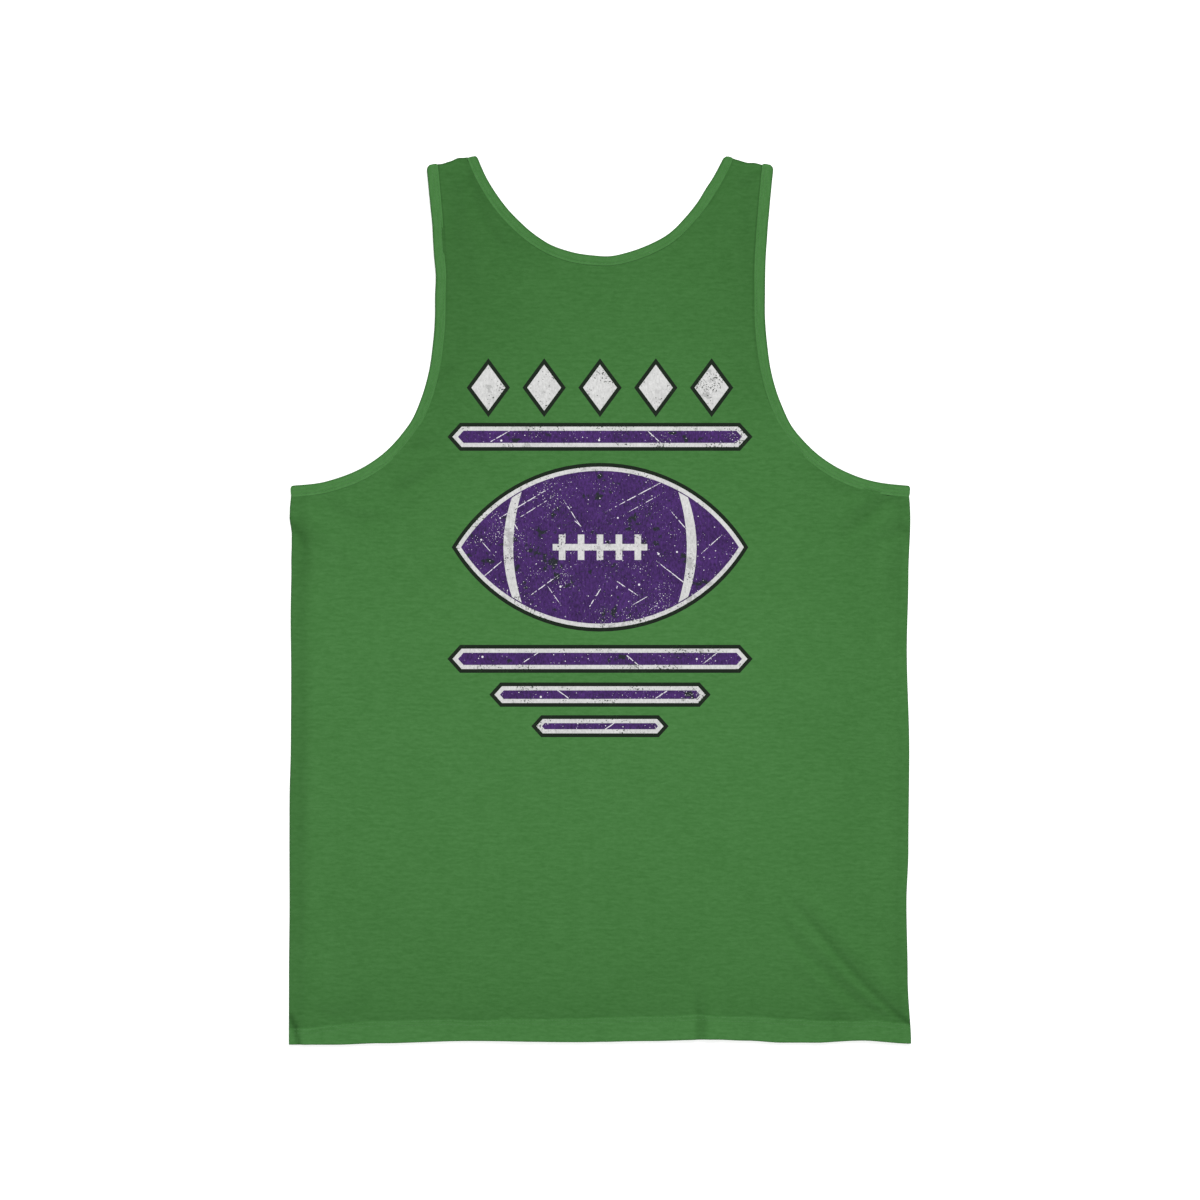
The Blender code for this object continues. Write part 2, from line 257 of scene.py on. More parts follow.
@dataclass(frozen=True)
class Pattern:
    """The garment's cut, laid flat: the outline that both layers share and their own openings."""

    half_chest: float = 255.0
    hem_y: float = -366.6
    hem_height: float = 20.0
    underarm: Pair = (255.0, 94.3)
    shoulder_arm: Pair = (142.9, 358.0)
    shoulder_neck_x: float = 101.5
    shoulder_fall: float = 11.0
    neck_shoulder_angle: float = 68.0
    arm_shoulder_angle: float = 87.0
    arm_underarm_angle: float = 177.4
    neck_binding: float = 7.6
    armhole_binding: float = 8.8
    curve_steps: int = 90
    centre_at_underarm: float = 0.0
    hem_sway_ease: float = 70.0
    shoulder_sway_reach: float = 22.0
    shoulder_sway_ease: float = 20.0

    def side_x(self, side: Side, y: Array) -> Array:
        """The signed place of a side edge at some heights."""
        return side.value * (self.half_chest + read_table(SIDE_SWAY[side], y))

    def shoulder_y(self, x: Array) -> Array:
        """The height of the shoulder edge."""
        slope = math.tan(math.radians(self.shoulder_fall))
        return self.shoulder_arm[1] + (self.shoulder_arm[0] - np.abs(x)) * slope

    def shoulder_rise(self, x: Array, y: Array) -> Array:
        """How far the straps' ends sway up or down near the shoulder edge."""
        up = y - self.shoulder_y(x) + self.shoulder_sway_reach
        return read_table(SHOULDER_SWAY, x) * smooth(up / self.shoulder_sway_ease)

    def swayed(self, x: Array, y: Array, inset: float) -> Array:
        """Lets the hem sway.

        Args:
            x: The points' places across.
            y: The points' places up.
            inset: How far the layer's hem is drawn up.

        Returns:
            The new heights.
        """
        up = y - self.hem_y
        share = 1 - smooth(up / self.hem_sway_ease)
        at_top = smooth(up / self.hem_height) - smooth((up - self.hem_height) / self.hem_sway_ease)
        top = at_top * (read_table(HEM_TOP, x) - self.hem_height)
        return y + share * (read_table(HEM_RISE, x) + inset) + top

    def above_hem(self, x: Array, y: Array) -> Array:
        """How far points lie above the hem's edge."""
        return y - self.hem_y - read_table(HEM_RISE, x)

    def neck(self, layer: Layer) -> Array:
        """Half a neckline's edge.

        Args:
            layer: Whose neckline it is.

        Returns:
            Its points, from the lowest one to the right shoulder.
        """
        depth, leaving, arriving = NECKLINES[layer]
        shoulder = (self.shoulder_neck_x, float(self.shoulder_y(self.shoulder_neck_x)))
        before = polar(shoulder, self.neck_shoulder_angle + 180, arriving)
        return curve((0.0, depth), (leaving, depth), before, shoulder, self.curve_steps)

    def armhole(self, layer: Layer) -> Array:
        """The right armhole's edge.

        Args:
            layer: Whose armhole it is.

        Returns:
            Its points, from the underarm to the shoulder.
        """
        waist, first, below, above, last = ARMHOLES[layer]
        start, end = self.underarm, self.shoulder_arm
        leaving = polar(start, self.arm_underarm_angle, first)
        arriving = polar(end, self.arm_shoulder_angle + 180, last)
        lower = curve(start, leaving, polar(waist, -90, below), waist, self.curve_steps)
        upper = curve(waist, polar(waist, 90, above), arriving, end, self.curve_steps)
        return np.vstack([lower, upper[1:]])

    def up_to_shoulder(self, line: Array) -> Array:
        """Ends a line on the shoulder edge.

        Args:
            line: The line, which is lengthened if need be.

        Returns:
            The line up to where it meets the edge.
        """
        line = np.vstack([line, line[-1] + unit(line[-1] - line[-2]) * self.shoulder_neck_x])
        gaps = self.shoulder_y(line[:, 0]) - line[:, 1]
        index = int(np.argmax(gaps <= 0))
        share = gaps[index - 1] / (gaps[index - 1] - gaps[index])
        return np.vstack([line[:index], line[index - 1] + share * (line[index] - line[index - 1])])

    def neck_line(self, layer: Layer, inset: float, count: int) -> Array:
        """A line beside half the neckline, from the middle up to the shoulder.

        Args:
            layer: Whose neckline it is.
            inset: How far in from its edge it runs.
            count: How many stretches it gets.

        Returns:
            Its points.
        """
        line = spread(self.up_to_shoulder(beside(self.neck(layer), inset)), count)
        line[0, 0] = 0.0
        return line

    def armhole_line(self, layer: Layer, inset: float, count: int) -> Array:
        """Points beside the right armhole, in from its edge, up to the shoulder."""
        return spread(self.up_to_shoulder(beside(self.armhole(layer), -inset)), count)


@dataclass(frozen=True)
class Nudge:
    """A small shift of the cloth round a place, where an edge doesn't lie in a clean curve."""

    x: float
    y: float
    right: float
    up: float
    reach: float


NUDGES: tuple[Nudge, ...] = (
    Nudge(9, 284, 0, -0.8, 11), Nudge(-41, 293, -0.2, -0.4, 9), Nudge(-66, 312, 0.2, 0.2, 9),
    Nudge(-91, 345, -0.35, -0.2, 14), Nudge(57, 304, 0.65, -0.85, 14), Nudge(87, 338, -0.6, 0.4, 9),
    Nudge(-155, 151, 0.6, -0.35, 12), Nudge(159, 145, -0.7, -0.4, 13), Nudge(-137, 211, -0.4, 0, 15),
    Nudge(137, 211, 0.45, 0, 15), Nudge(-136.5, 267, 1, 0, 12), Nudge(137, 288, -0.3, 0, 38),
    Nudge(-139, 310, 0.4, 0, 17), Nudge(-143, 356, -0.15, 0, 10), Nudge(143, 356, 0.2, 0, 11),
    Nudge(103, 361, 0.7, 0, 9), Nudge(-256, 58, -0.35, 0, 9), Nudge(-256, -10, -0.65, 0, 32),
    Nudge(-256, -156, -0.6, 0, 26), Nudge(256, 84, -0.3, 0, 16), Nudge(-230, 97, 0, -0.35, 14),
    Nudge(220, 99, 0, -0.35, 13),
)


def settled(points: Array) -> Array:
    """Shifts points by the nudges near them.

    Args:
        points: The points.

    Returns:
        The shifted points.
    """
    moved = points.copy()
    for nudge in NUDGES:
        share = bell(np.linalg.norm(points[:, :2] - (nudge.x, nudge.y), axis=1), nudge.reach)
        moved[:, :2] += share[:, None] * (nudge.right, nudge.up)
    return moved


@dataclass(frozen=True)
class Fold:
    """A trough, or a ridge where its depth is negative, along a line with a strength at each corner."""

    path: tuple[Triple, ...]
    half_width: float
    depth: float
    lip: float = 0.0
    # How deep the painted shade in the trough is, lighter where negative.
    shade: float = 0.0
    taper: float = 1.0

    def widths(self) -> Array:
        """The half width at each corner, which tapers along the line."""
        lengths = lengths_along(np.array(self.path)[:, :2])
        return self.half_width * (1 + (self.taper - 1) * lengths / lengths[-1])


BACK_FOLDS: tuple[Fold, ...] = (
    # Two troughs drawn up from the hem's right end, and the ridges on each side of them.
    Fold(((153, -240, 0), (161, -251, 0.3), (172, -262, 0.6), (182, -273.5, 0.8), (195, -290, 0.9),
          (205, -301, 1), (215, -313, 1), (228, -326, 1.1), (240, -337, 1.2), (250, -345.5, 1.4),
          (257, -351, 1.4)), 3.4, 1.05, 0, 0.165, 0.55),
    Fold(((146, -248, 0), (150, -260, 0.5), (159, -276, 0.8), (168, -288, 1), (179, -299, 1),
          (190, -309, 1.1), (200, -319.7, 1.2), (209, -328, 1.2), (221, -336.5, 1), (236, -343, 0.8)),
          3.2, 0.7, 0, 0.075, 1.2),
    Fold(((156, -262, 0), (184, -290, 0.8), (204, -312, 1), (224, -331, 0.9), (238, -341, 0.3)),
          3.6, -1.1),
    Fold(((160, -232, 0), (192, -268, 0.8), (216, -296, 1), (236, -318, 1), (250, -332, 0.6)),
          7.5, -1.5),
    Fold(((140, -268, 0), (164, -298, 0.9), (188, -322, 1), (206, -340, 0.6)), 6.5, -1.1),
    Fold(((250, -300, 0.3), (226, -236, 1), (176, -160, 0)), 17, -0.9),
    # A short crease at the hem's left end, and the broad ridges that rise from it.
    Fold(((-255, -343, 0.8), (-251.5, -351, 1), (-250.3, -357.5, 1.1), (-248.4, -366, 1.1)),
          2.3, 0.8, 0, 0.36),
    Fold(((-244, -346, 0.6), (-243, -366, 1)), 3.2, -0.8, 0, -0.03),
    Fold(((-236, -334, 0.3), (-226, -342, 1), (-211, -341, 0.8), (-186, -326, 0.3), (-164, -300, 0)),
          4.6, 0.6, 0, 0.05),
    Fold(((-238, -332, 0.4), (-196, -262, 1), (-132, -152, 0)), 17, -1.6),
    Fold(((-246, -310, 0.6), (-226, -256, 1), (-196, -196, 0)), 13, -0.9),
    # Ripples that run up from the hem.
    Fold(((80, -300, 0), (81.5, -322, 0.2), (82.5, -338, 0.5), (83.5, -346, 1), (83, -367, 1.2)),
          3.5, 0.9, 0, 0.25),
    Fold(((90, -304, 0), (91.5, -335, 0.7), (92, -367, 1)), 5.5, -1.3),
    Fold(((73, -318, 0), (74, -340, 0.6), (74, -367, 1)), 5, -0.9),
    Fold(((121, -342, 0), (122, -352, 0.8), (122, -366, 1)), 2.8, 0.5, 0, 0.05),
    Fold(((203, -345, 0), (205, -352, 0.8), (204, -366, 1)), 2.8, 0.5, 0, 0.04),
    Fold(((182, -343, 0.5), (194, -344, 1), (206, -343.5, 0.3)), 3.2, 0.5, 0, 0.07),
    Fold(((192, -346, 0.5), (195, -356, 1), (195, -366, 0.9)), 5.5, 0.5, 0, 0.06),
    Fold(((178, -340, 0.2), (179, -367, 1)), 6.5, -0.8),
    Fold(((0, -326, 0), (-0.5, -348, 0.8), (0, -366, 1)), 3.6, 0.5, 0, 0.05),
    Fold(((8, -332, 0), (9, -366, 1)), 6, -0.8),
    Fold(((-67, -318, 0), (-66, -345, 0.8), (-66, -367, 1)), 11, -0.8),
    Fold(((-168, -322, 0), (-172, -345, 0.8), (-176, -367, 1)), 11, -0.9),
    Fold(((-122, -340, 0), (-124, -352, 1), (-123, -366, 0.8)), 4, 0.4, 0, 0.03),
    Fold(((228, -352, 0.3), (230, -367, 1)), 8, -0.6),
    # Drawn from the left underarm.
    Fold(((-257, 66, 1), (-252, 60.5, 1.2), (-247, 55, 1.1), (-243.5, 49, 0.9), (-242, 42, 0.4),
          (-241, 30, 0.2), (-241.5, 16, 0)), 2.6, 0.75, 0, 0.17, 1.2),
    Fold(((-242, 58, 0.2), (-241, 44, 1), (-240.5, 26, 0.9), (-242, 0, 0)), 6, 0.4, 0, 0.05),
    Fold(((-246, 74, 0.6), (-231, 60, 1), (-214, 42, 0.8), (-190, 20, 0)), 7.5, -1),
    Fold(((-250, 54, 0.6), (-247, 36, 1), (-248, 10, 0)), 4, -0.8),
    # Short creases beside the left armhole.
    Fold(((-172, 86, 0), (-160, 93, 1), (-136, 107, 0.4), (-120, 113, 0)), 4.6, 0.7, 0.5, 0.08),
    Fold(((-160, 122, 0), (-148, 127, 1), (-124, 132, 0)), 4.4, 0.6, 0.4, 0.07),
    Fold(((-136, 176, 0.3), (-128, 185, 1), (-112, 196, 0)), 4.5, 0.6, 0.3, 0.07),
    Fold(((-208, 70, 0), (-194, 67, 1), (-166, 64, 0)), 4.4, 0.6, 0.4, 0.06),
    Fold(((-228, 84, 0.4), (-214, 74, 1), (-196, 56, 0)), 4.6, 0.5, 0.3, 0.05),
    Fold(((-140, 148, 0.2), (-156, 112, 1), (-172, 76, 0.2)), 12, -1.1),
    # Drawn from the right underarm.
    Fold(((238, 86, 0.5), (231, 78, 0.9), (218, 68, 1), (206, 58, 0.6), (190, 42, 0)),
          4.6, 0.8, 0.4, 0.1),
    Fold(((254, 56, 1), (246, 58, 1), (236, 50, 0.3)), 5, 0.8, 0.3, 0.09),
    Fold(((243, 36, 0.2), (240, 20, 1), (236, -4, 0.4), (234, -24, 0)), 6, 0.7, 0.4, 0.07),
    Fold(((226, 92, 0.3), (212, 80, 1), (192, 62, 0)), 6.5, -1),
    Fold(((240, 66, 0.4), (222, 52, 1), (194, 30, 0)), 7.5, -1.2),
    Fold(((142, 150, 0.3), (158, 116, 1), (176, 84, 0)), 11, -1),
    # Beside the neckline's ends, and down each strap.
    Fold(((-104, 346, 0.6), (-101, 330, 1), (-90, 308, 0.6), (-82, 294, 0.8), (-66, 280, 0)),
          5, 0.6, 0.2, 0.07),
    Fold(((-122, 346, 0.4), (-117, 300, 1), (-110, 262, 0.4), (-106, 232, 0)), 6, 0.6, 0.5, 0.03),
    Fold(((-104, 352, 0.4), (-110, 340, 1), (-122, 334, 0.4), (-132, 330, 0)), 3, 0.5, 0.3, 0.05),
    Fold(((120, 350, 0.4), (121, 310, 1), (120, 262, 0.5), (116, 220, 0)), 6.5, 0.6, 0.5, 0.03),
    Fold(((132, 352, 0.5), (122, 342, 1), (110, 338, 0)), 3, 0.5, 0.3, 0.05),
    Fold(((-90, 238, 0.2), (-50, 252, 1), (-16, 262, 0)), 12, -0.8),
    Fold(((92, 242, 0.2), (56, 254, 1), (22, 264, 0)), 12, -0.7),
    # Broad waves across the body.
    Fold(((-226, -60, 0), (-170, -44, 1), (-118, -26, 0)), 18, -0.9),
    Fold(((222, -96, 0), (166, -80, 1), (110, -58, 0)), 18, -0.8),
    Fold(((-110, -236, 0), (-40, -222, 1), (40, -214, 0)), 20, -0.7),
    Fold(((-30, -306, 0), (40, -296, 1), (110, -270, 0)), 16, -0.6),
)
FRONT_FOLDS: tuple[Fold, ...] = (
    Fold(((-236, -340, 1), (-196, -262, 0.8), (-150, -190, 0)), 8, -0.28),
    Fold(((238, -344, 1), (208, -290, 0.8), (150, -236, 0)), 6, -0.3),
    Fold(((-70, -364, 1), (-68, -330, 0.5), (-64, -296, 0)), 7, -0.25),
    Fold(((112, -364, 1), (110, -338, 0.6), (104, -300, 0)), 6, -0.28),
    Fold(((-244, 66, 1), (-200, 30, 0.8), (-150, 12, 0)), 8, -0.28),
    Fold(((242, 70, 1), (206, 40, 0.8), (160, 26, 0)), 8, -0.26),
    Fold(((-120, 150, 0.4), (-60, 168, 1), (10, 160, 0)), 12, -0.2),
    Fold(((120, 140, 0.4), (70, 120, 1), (-10, 100, 0)), 12, -0.2),
    Fold(((-150, -70, 0), (-20, -96, 1), (130, -70, 0)), 14, -0.22),
)


def peak(of: str, width: float, place: float = 0.0) -> Factor:
    """A factor that is 1 at a place along a measure and fades on both sides of it."""
    return lambda measures: bell(measures[of] - place, width)


def ease(of: str, start: float, run: float) -> Factor:
    """A factor that eases from 0 at a start to 1 after a run, which is negative where it looks back."""
    return lambda measures: smooth((measures[of] - start) / run)


def fade(of: str, length: float) -> Factor:
    """A factor that falls from 1 as a measure grows."""
    return lambda measures: np.exp(-measures[of] / length)


def shaded(shadows: Shadows, measures: Measures) -> Array:
    """The sum of some painted shadows.

    Args:
        shadows: For each one its depth, and the factors that bound it.
        measures: The points' places and distances, by name.

    Returns:
        The shade at each point.
    """
    total: Array = np.zeros(1)
    for depth, *factors in shadows:
        total = total + math.prod((factor(measures) for factor in factors), start=depth)
    return total


# How deep the painted shade on the back is towards the shoulders.
CHEST_SHADE: Table = (
    (-30, 0), (33, 0.03), (82, 0.055), (132, 0.06),
    (181, 0.09), (231, 0.125), (281, 0.158), (345, 0.125),
)
# Each row is a painted shade: its depth, lighter where negative, and the factors that bound it.
CLOTH_SHADOWS: Shadows = (
    # The painted lighter middle, and a spot of painted shade at the lower left.
    (-0.03, peak("x", 95), peak("y", 75, -75)),
    (0.015, peak("x", 50, -195), peak("y", 60, -250)),
    # Painted shade above the turned hem, less of it at the left end and in one place on the right.
    (0.12, fade("above", 42)),
    (0.03, ease("above", 170, -110)),
    (0.05, peak("above", 0.9)),
    (-0.035, fade("above", 30), ease("x", -205, -25)),
    (-0.025, fade("above", 30), peak("x", 30, 93)),
)
LEFT_SHADOWS: Shadows = (
    # Broad painted shade, beside the armhole and the neckline.
    (0.03325, peak("armhole", 60)),
    (0.06175, peak("armhole", 60), ease("y", 75, 60)),
    (0.04, peak("neck", 30), ease("y", 284, 20)),
    (0.035, peak("neck", 25), peak("x", 16, -60)),
    # Narrow painted shade, along the bindings' seams.
    (0.07, peak("armhole", 0.8, 0.9), ease("y", 215, 30)),
    (0.08, peak("armhole", 0.8, 0.9), ease("y", 280, 30)),
    (0.05, peak("neck", 2.2, 2.6), ease("y", 290, 20)),
    # Painted shade over the side seam's allowance, deeper or lighter in places, and a painted line at
    # its edge.
    (0.1, ease("side", 20.5, -11)),
    (0.05, ease("side", 20.5, -11), peak("y", 60, -165)),
    (-0.05, ease("side", 20.5, -11), ease("y", -270, -50)),
    (-0.07, ease("side", 20.5, -11), peak("y", 8, 73)),
    (0.035, peak("side", 1.8, 9.4)),
)
RIGHT_SHADOWS: Shadows = (
    # Broad painted shade, beside the armhole and the neckline.
    (0.06, peak("armhole", 40), ease("y", 120, 60)),
    (0.05, peak("neck", 30), ease("y", 284, 30)),
    # Narrow painted shade, along the bindings' seams.
    (0.15, peak("armhole", 0.9, 0.9), ease("y", 175, 40)),
    (0.08, peak("armhole", 0.8, 0.3), ease("y", 290, 25)),
    (0.075, peak("armhole", 6, 1.5), ease("x", 156, 22)),
    (0.07, peak("neck", 1, 1.6), ease("y", 315, 15)),
    # Painted shade over the side seam's allowance, and across the side below the armhole.
    (0.045, ease("side", 22, -14)),
    (-0.025, ease("side", 22, -14), peak("y", 50, -80)),
    (0.035, peak("side", 1.5, 8.6)),
    (0.05, ease("x", 120, 110), ease("y", 180, -120)),
    (-0.025, ease("x", 120, 110), ease("y", 180, -120), ease("y", -190, -60)),
    (-0.012, ease("x", 120, 110), ease("y", 180, -120), ease("x", 222, 15)),
)
# Painted light and shade in the turned hem: lighter overall, shaded at its top seam, and varied along
# it.
HEM_SHADOWS: Shadows = (
    (-0.03,),
    (0.035, fade("below", 2.6)),
    (0.02, ease("x", 150, 40)),
    (-0.03, peak("x", 35, 92)),
    (-0.04, ease("x", -225, -15)),
)
# Painted shade along the rolled outer edges and the shoulder edges.
EDGE_SHADOWS: Shadows = ((0.3, peak("edge", 0.7)), (0.4, peak("shoulder", 0.9)))
# Painted shade on the front's underside, along its seams and near its sides.
FRONT_SHADOWS: Shadows = ((0.09, peak("seams", 1.1)), (0.05, ease("side", 18, -12)))
# Painted shade on every binding: at the folded edge, in the stitch grooves, and where the strip turns
# towards the shoulder.
BINDING_SHADOWS: Shadows = (
    (0.42, peak("across", 1.05)),
    (0.03, peak("stitches", 0.4, -1.3)),
    (0.03, peak("stitches", 0.4, -4.3)),
    (0.3, ease("up", 0, 1 / 1.2)),
)
# Painted shade on the neck binding round its left side, and painted light beside its seam on the left.
NECK_SHADOWS: Shadows = (
    (0.035, peak("x", 26, -56)),
    (-0.11, ease("x", 0, -20), peak("seam", 1.3)),
)
# Painted light on the armhole bindings towards the underarm and beside their seams, and painted shade
# at their folded edge halfway up.
ARMHOLE_SHADOWS: Shadows = (
    (-0.05, ease("y", 160, -45)),
    (-0.13, ease("y", 122, -22), peak("seam", 1.3)),
    (-0.1, peak("x", 8, 152), peak("seam", 1.3)),
    (0.1, peak("y", 42, 235), ease("half", 150, -8), peak("across", 0.9, 1.2)),
)


@dataclass(frozen=True)
class Relief:
    """The height of each layer's outer face above the floor, and how deep the shade painted into its
    colour is.
    """

    pattern: Pattern
    cloth: float = 0.7
    hem_cloth: float = 1.3
    pressed_cloth: float = 0.5
    edge_top: float = 2.3
    lift: float = 0.9
    hem_step: float = 0.5
    hem_step_ease: float = 1.6
    side_ease: float = 14.0
    shoulder_ease: float = 9.0
    fold_ease: float = 5.0
    fold_lip: float = 2.1
    underarm_ease: Pair = (45.0, 75.0)
    underarm_gap: float = 0.5
    seam_steps: tuple[int, int] = (60, 90)
    seam_dip: float = 0.12
    seam_dip_width: float = 1.8
    seam_dip_rise: Pair = (150.0, 220.0)
    allowance: float = 8.0
    allowance_step: float = 0.25
    allowance_ease: float = 1.6
    allowance_start: float = 3.0
    roll: float = 1.1
    edge_level: float = 1.3
    edge_cloth: float = 0.1
    hem_roll: float = 0.6
    wave: float = 0.35
    wave_length: float = 85.0
    # How many times as close across and up the narrow waves lie, and how high they are.
    narrow_wave: Triple = (2.7, 2.2, 0.4)
    # The seeds of the back's and of the front's wide waves, and the step from there to the narrow ones.
    wave_seeds: Triple = (3.0, 21.0, 7.0)
    lowest_top: float = 2.05
    highest_top: float = 5.9
    front_wave: float = 0.12
    front_lift: float = 0.1
    front_dip: float = 0.06
    front_base: float = 0.16
    front_limit: float = 1.0
    front_hem_seam: float = 1.0

    def edges(self, x: Array, y: Array) -> tuple[Array, Array, Array]:
        """How far points lie inside the side, the shoulder and the hem.

        Args:
            x: The points' places across.
            y: The points' places up.

        Returns:
            The three distances.
        """
        cut = self.pattern
        side = np.where(x < 0, x - cut.side_x(Side.LEFT, y), cut.side_x(Side.RIGHT, y) - x)
        # Beside the armholes no side edge is near.
        side[y > cut.underarm[1] - cut.armhole_binding + self.underarm_gap] = 2 * cut.half_chest
        shoulder = (cut.shoulder_y(x) - y) * math.cos(math.radians(cut.shoulder_fall))
        return np.maximum(side, 0), np.maximum(shoulder, 0), cut.above_hem(x, y)

    def measures(self, layer: Layer, x: Array, y: Array) -> Measures:
        """Where points of a layer lie.

        Args:
            layer: The layer.
            x: The points' places across.
            y: The points' places up.

        Returns:
            By name, their places and how far they are from the layer's edges and seams.
        """
        cut = self.pattern
        side, shoulder, hem = self.edges(x, y)
        neck_steps, armhole_steps = self.seam_steps
        neck, _ = distance_to(cut.neck_line(layer, cut.neck_binding, neck_steps), np.abs(x), y)
        armhole = cut.armhole_line(layer, cut.armhole_binding, armhole_steps)
        armhole, _ = distance_to(armhole, np.abs(x), y)
        rise = hem - read_table(HEM_TOP, x)
        found = {"x": x, "y": y, "side": side, "shoulder": shoulder, "hem": hem, "neck": neck}
        found |= {"armhole": armhole, "binding": np.minimum(neck, armhole), "rise": rise}
        found |= {"above": np.maximum(rise, 0), "below": np.maximum(-rise, 0)}
        found |= {"edge": np.minimum(side, hem), "outline": np.minimum(side, shoulder)}
        found["seams"] = np.minimum(found["binding"], np.abs(rise - self.front_hem_seam))
        found["in_hem"] = 1 - smooth((rise + self.hem_step_ease) / self.hem_step_ease)
        return found

    def folded(self, folds: Sequence[Fold], x: Array, y: Array) -> tuple[Array, Array]:
        """Lays the folds.

        Args:
            folds: The folds.
            x: The points' places across.
            y: The points' places up.

        Returns:
            The height above the plain cloth, and the painted shade in the troughs.
        """
        height, shade = np.zeros(x.shape), np.zeros(x.shape)
        for fold in folds:
            path = np.array(fold.path, dtype=float)
            gap, place = distance_to(path[:, :2], x, y)
            corners = np.arange(len(path))
            strength = np.interp(place, corners, path[:, 2])
            across = gap / np.interp(place, corners, fold.widths())
            trough = bell(across, 1)
            height += strength * (fold.lip * bell(across - self.fold_lip, 1) - fold.depth * trough)
            # Painted shade in the trough.
            shade += strength * fold.shade * trough
        return height, shade

    def waves(self, x: Array, y: Array, height: float, seed: float) -> Array:
        """The cloth's uneven lie: slow noise in two sizes.

        Args:
            x: The points' places across.
            y: The points' places up.
            height: How high the wide waves are.
            seed: Which waves they are.

        Returns:
            The height at each point.
        """
        across, up, share = self.narrow_wave
        out = np.empty(x.shape)
        for index, (px, py) in enumerate(zip(x / self.wave_length, y / self.wave_length)):
            narrow = noise.noise(Vector((px * across, py * up, seed + self.wave_seeds[2])))
            out[index] = noise.noise(Vector((px, py, seed))) + share * narrow
        return out * height

    def at_edges(self, height: Array, at: Measures, up: int) -> Array:
        """Rolls the cloth over at its edges.

        Args:
            height: The cloth's height.
            at: Where its points lie.
            up: 1 for an upper face, which rolls down, and -1 for a lower one, which rolls up.

        Returns:
            The new height.
        """

        def rolled(inside: Array, radius: float) -> Array:
            """How far an edge has turned over, inside a rolled edge."""
            reach = np.clip(radius - inside, 0, radius)
            return radius - np.sqrt(np.maximum(radius**2 - reach**2, 0))

        turned = rolled(at["outline"], self.roll) / self.roll
        height = height + turned * (self.edge_level + up * self.edge_cloth / 2 - height)
        return height - up * rolled(np.maximum(at["hem"], 0), self.hem_roll)

    def back(self, at: Measures) -> tuple[Array, Array]:
        """The back panel's upper face.

        Args:
            at: Where its points lie.

        Returns:
            Its height and its painted shade.
        """
        x, y, side, in_hem = at["x"], at["y"], at["side"], at["in_hem"]
        (low, high), (dip_low, dip_high) = self.underarm_ease, self.seam_dip_rise
        at_shoulder = smooth(at["shoulder"] / self.shoulder_ease)
        rest = np.maximum(smooth(side / self.side_ease), smooth((y - low) / (high - low))) * at_shoulder
        folds, shade = self.folded(BACK_FOLDS, x, y)
        waves = self.waves(x, y, self.wave, self.wave_seeds[0])
        hem_rest = 1 - smooth(at["rise"] / self.side_ease)
        height = self.edge_top + np.maximum(rest * (self.lift + waves), hem_rest * self.hem_step)
        height += folds * smooth(side / self.fold_ease) * at_shoulder
        dip = self.seam_dip * bell(at["armhole"], self.seam_dip_width)
        dip *= smooth((y - dip_low) / (dip_high - dip_low)) * rest
        within = 1 - smooth((side - self.allowance) / self.allowance_ease + 0.5)
        within *= smooth(side / self.allowance_start) * (y < self.pattern.underarm[1])
        height += in_hem * self.hem_step + (self.allowance_step * within - dip) * (1 - in_hem)
        height = np.clip(height, self.lowest_top + in_hem * self.hem_step, self.highest_top)
        # Painted shade on the cloth: towards the shoulders, beside seams, above the hem and at the
        # edges.
        cloth = read_table(CHEST_SHADE, y) + shaded(CLOTH_SHADOWS, at)
        cloth += np.where(x < 0, shaded(LEFT_SHADOWS, at), shaded(RIGHT_SHADOWS, at))
        shade += cloth * (1 - in_hem) + shaded(HEM_SHADOWS, at) * in_hem + shaded(EDGE_SHADOWS, at)
        return self.at_edges(height, at, 1), shade

    def front(self, at: Measures) -> tuple[Array, Array]:
        """The front panel's lower face.

        Args:
            at: Where its points lie.

        Returns:
            Its height and its painted shade.
        """
        folds, _ = self.folded(FRONT_FOLDS, at["x"], at["y"])
        waves = self.waves(at["x"], at["y"], self.front_wave, self.wave_seeds[1])
        height = smooth(at["outline"] / self.shoulder_ease) * (self.front_lift + folds + waves)
        height += self.front_dip * bell(at["seams"], self.seam_dip_width)
        height = np.maximum(height, 0) * (1 - at["in_hem"]) + self.front_base
        height = np.minimum(height, self.front_limit)
        return self.at_edges(height, at, -1), shaded(FRONT_SHADOWS, at) * (1 - at["in_hem"])


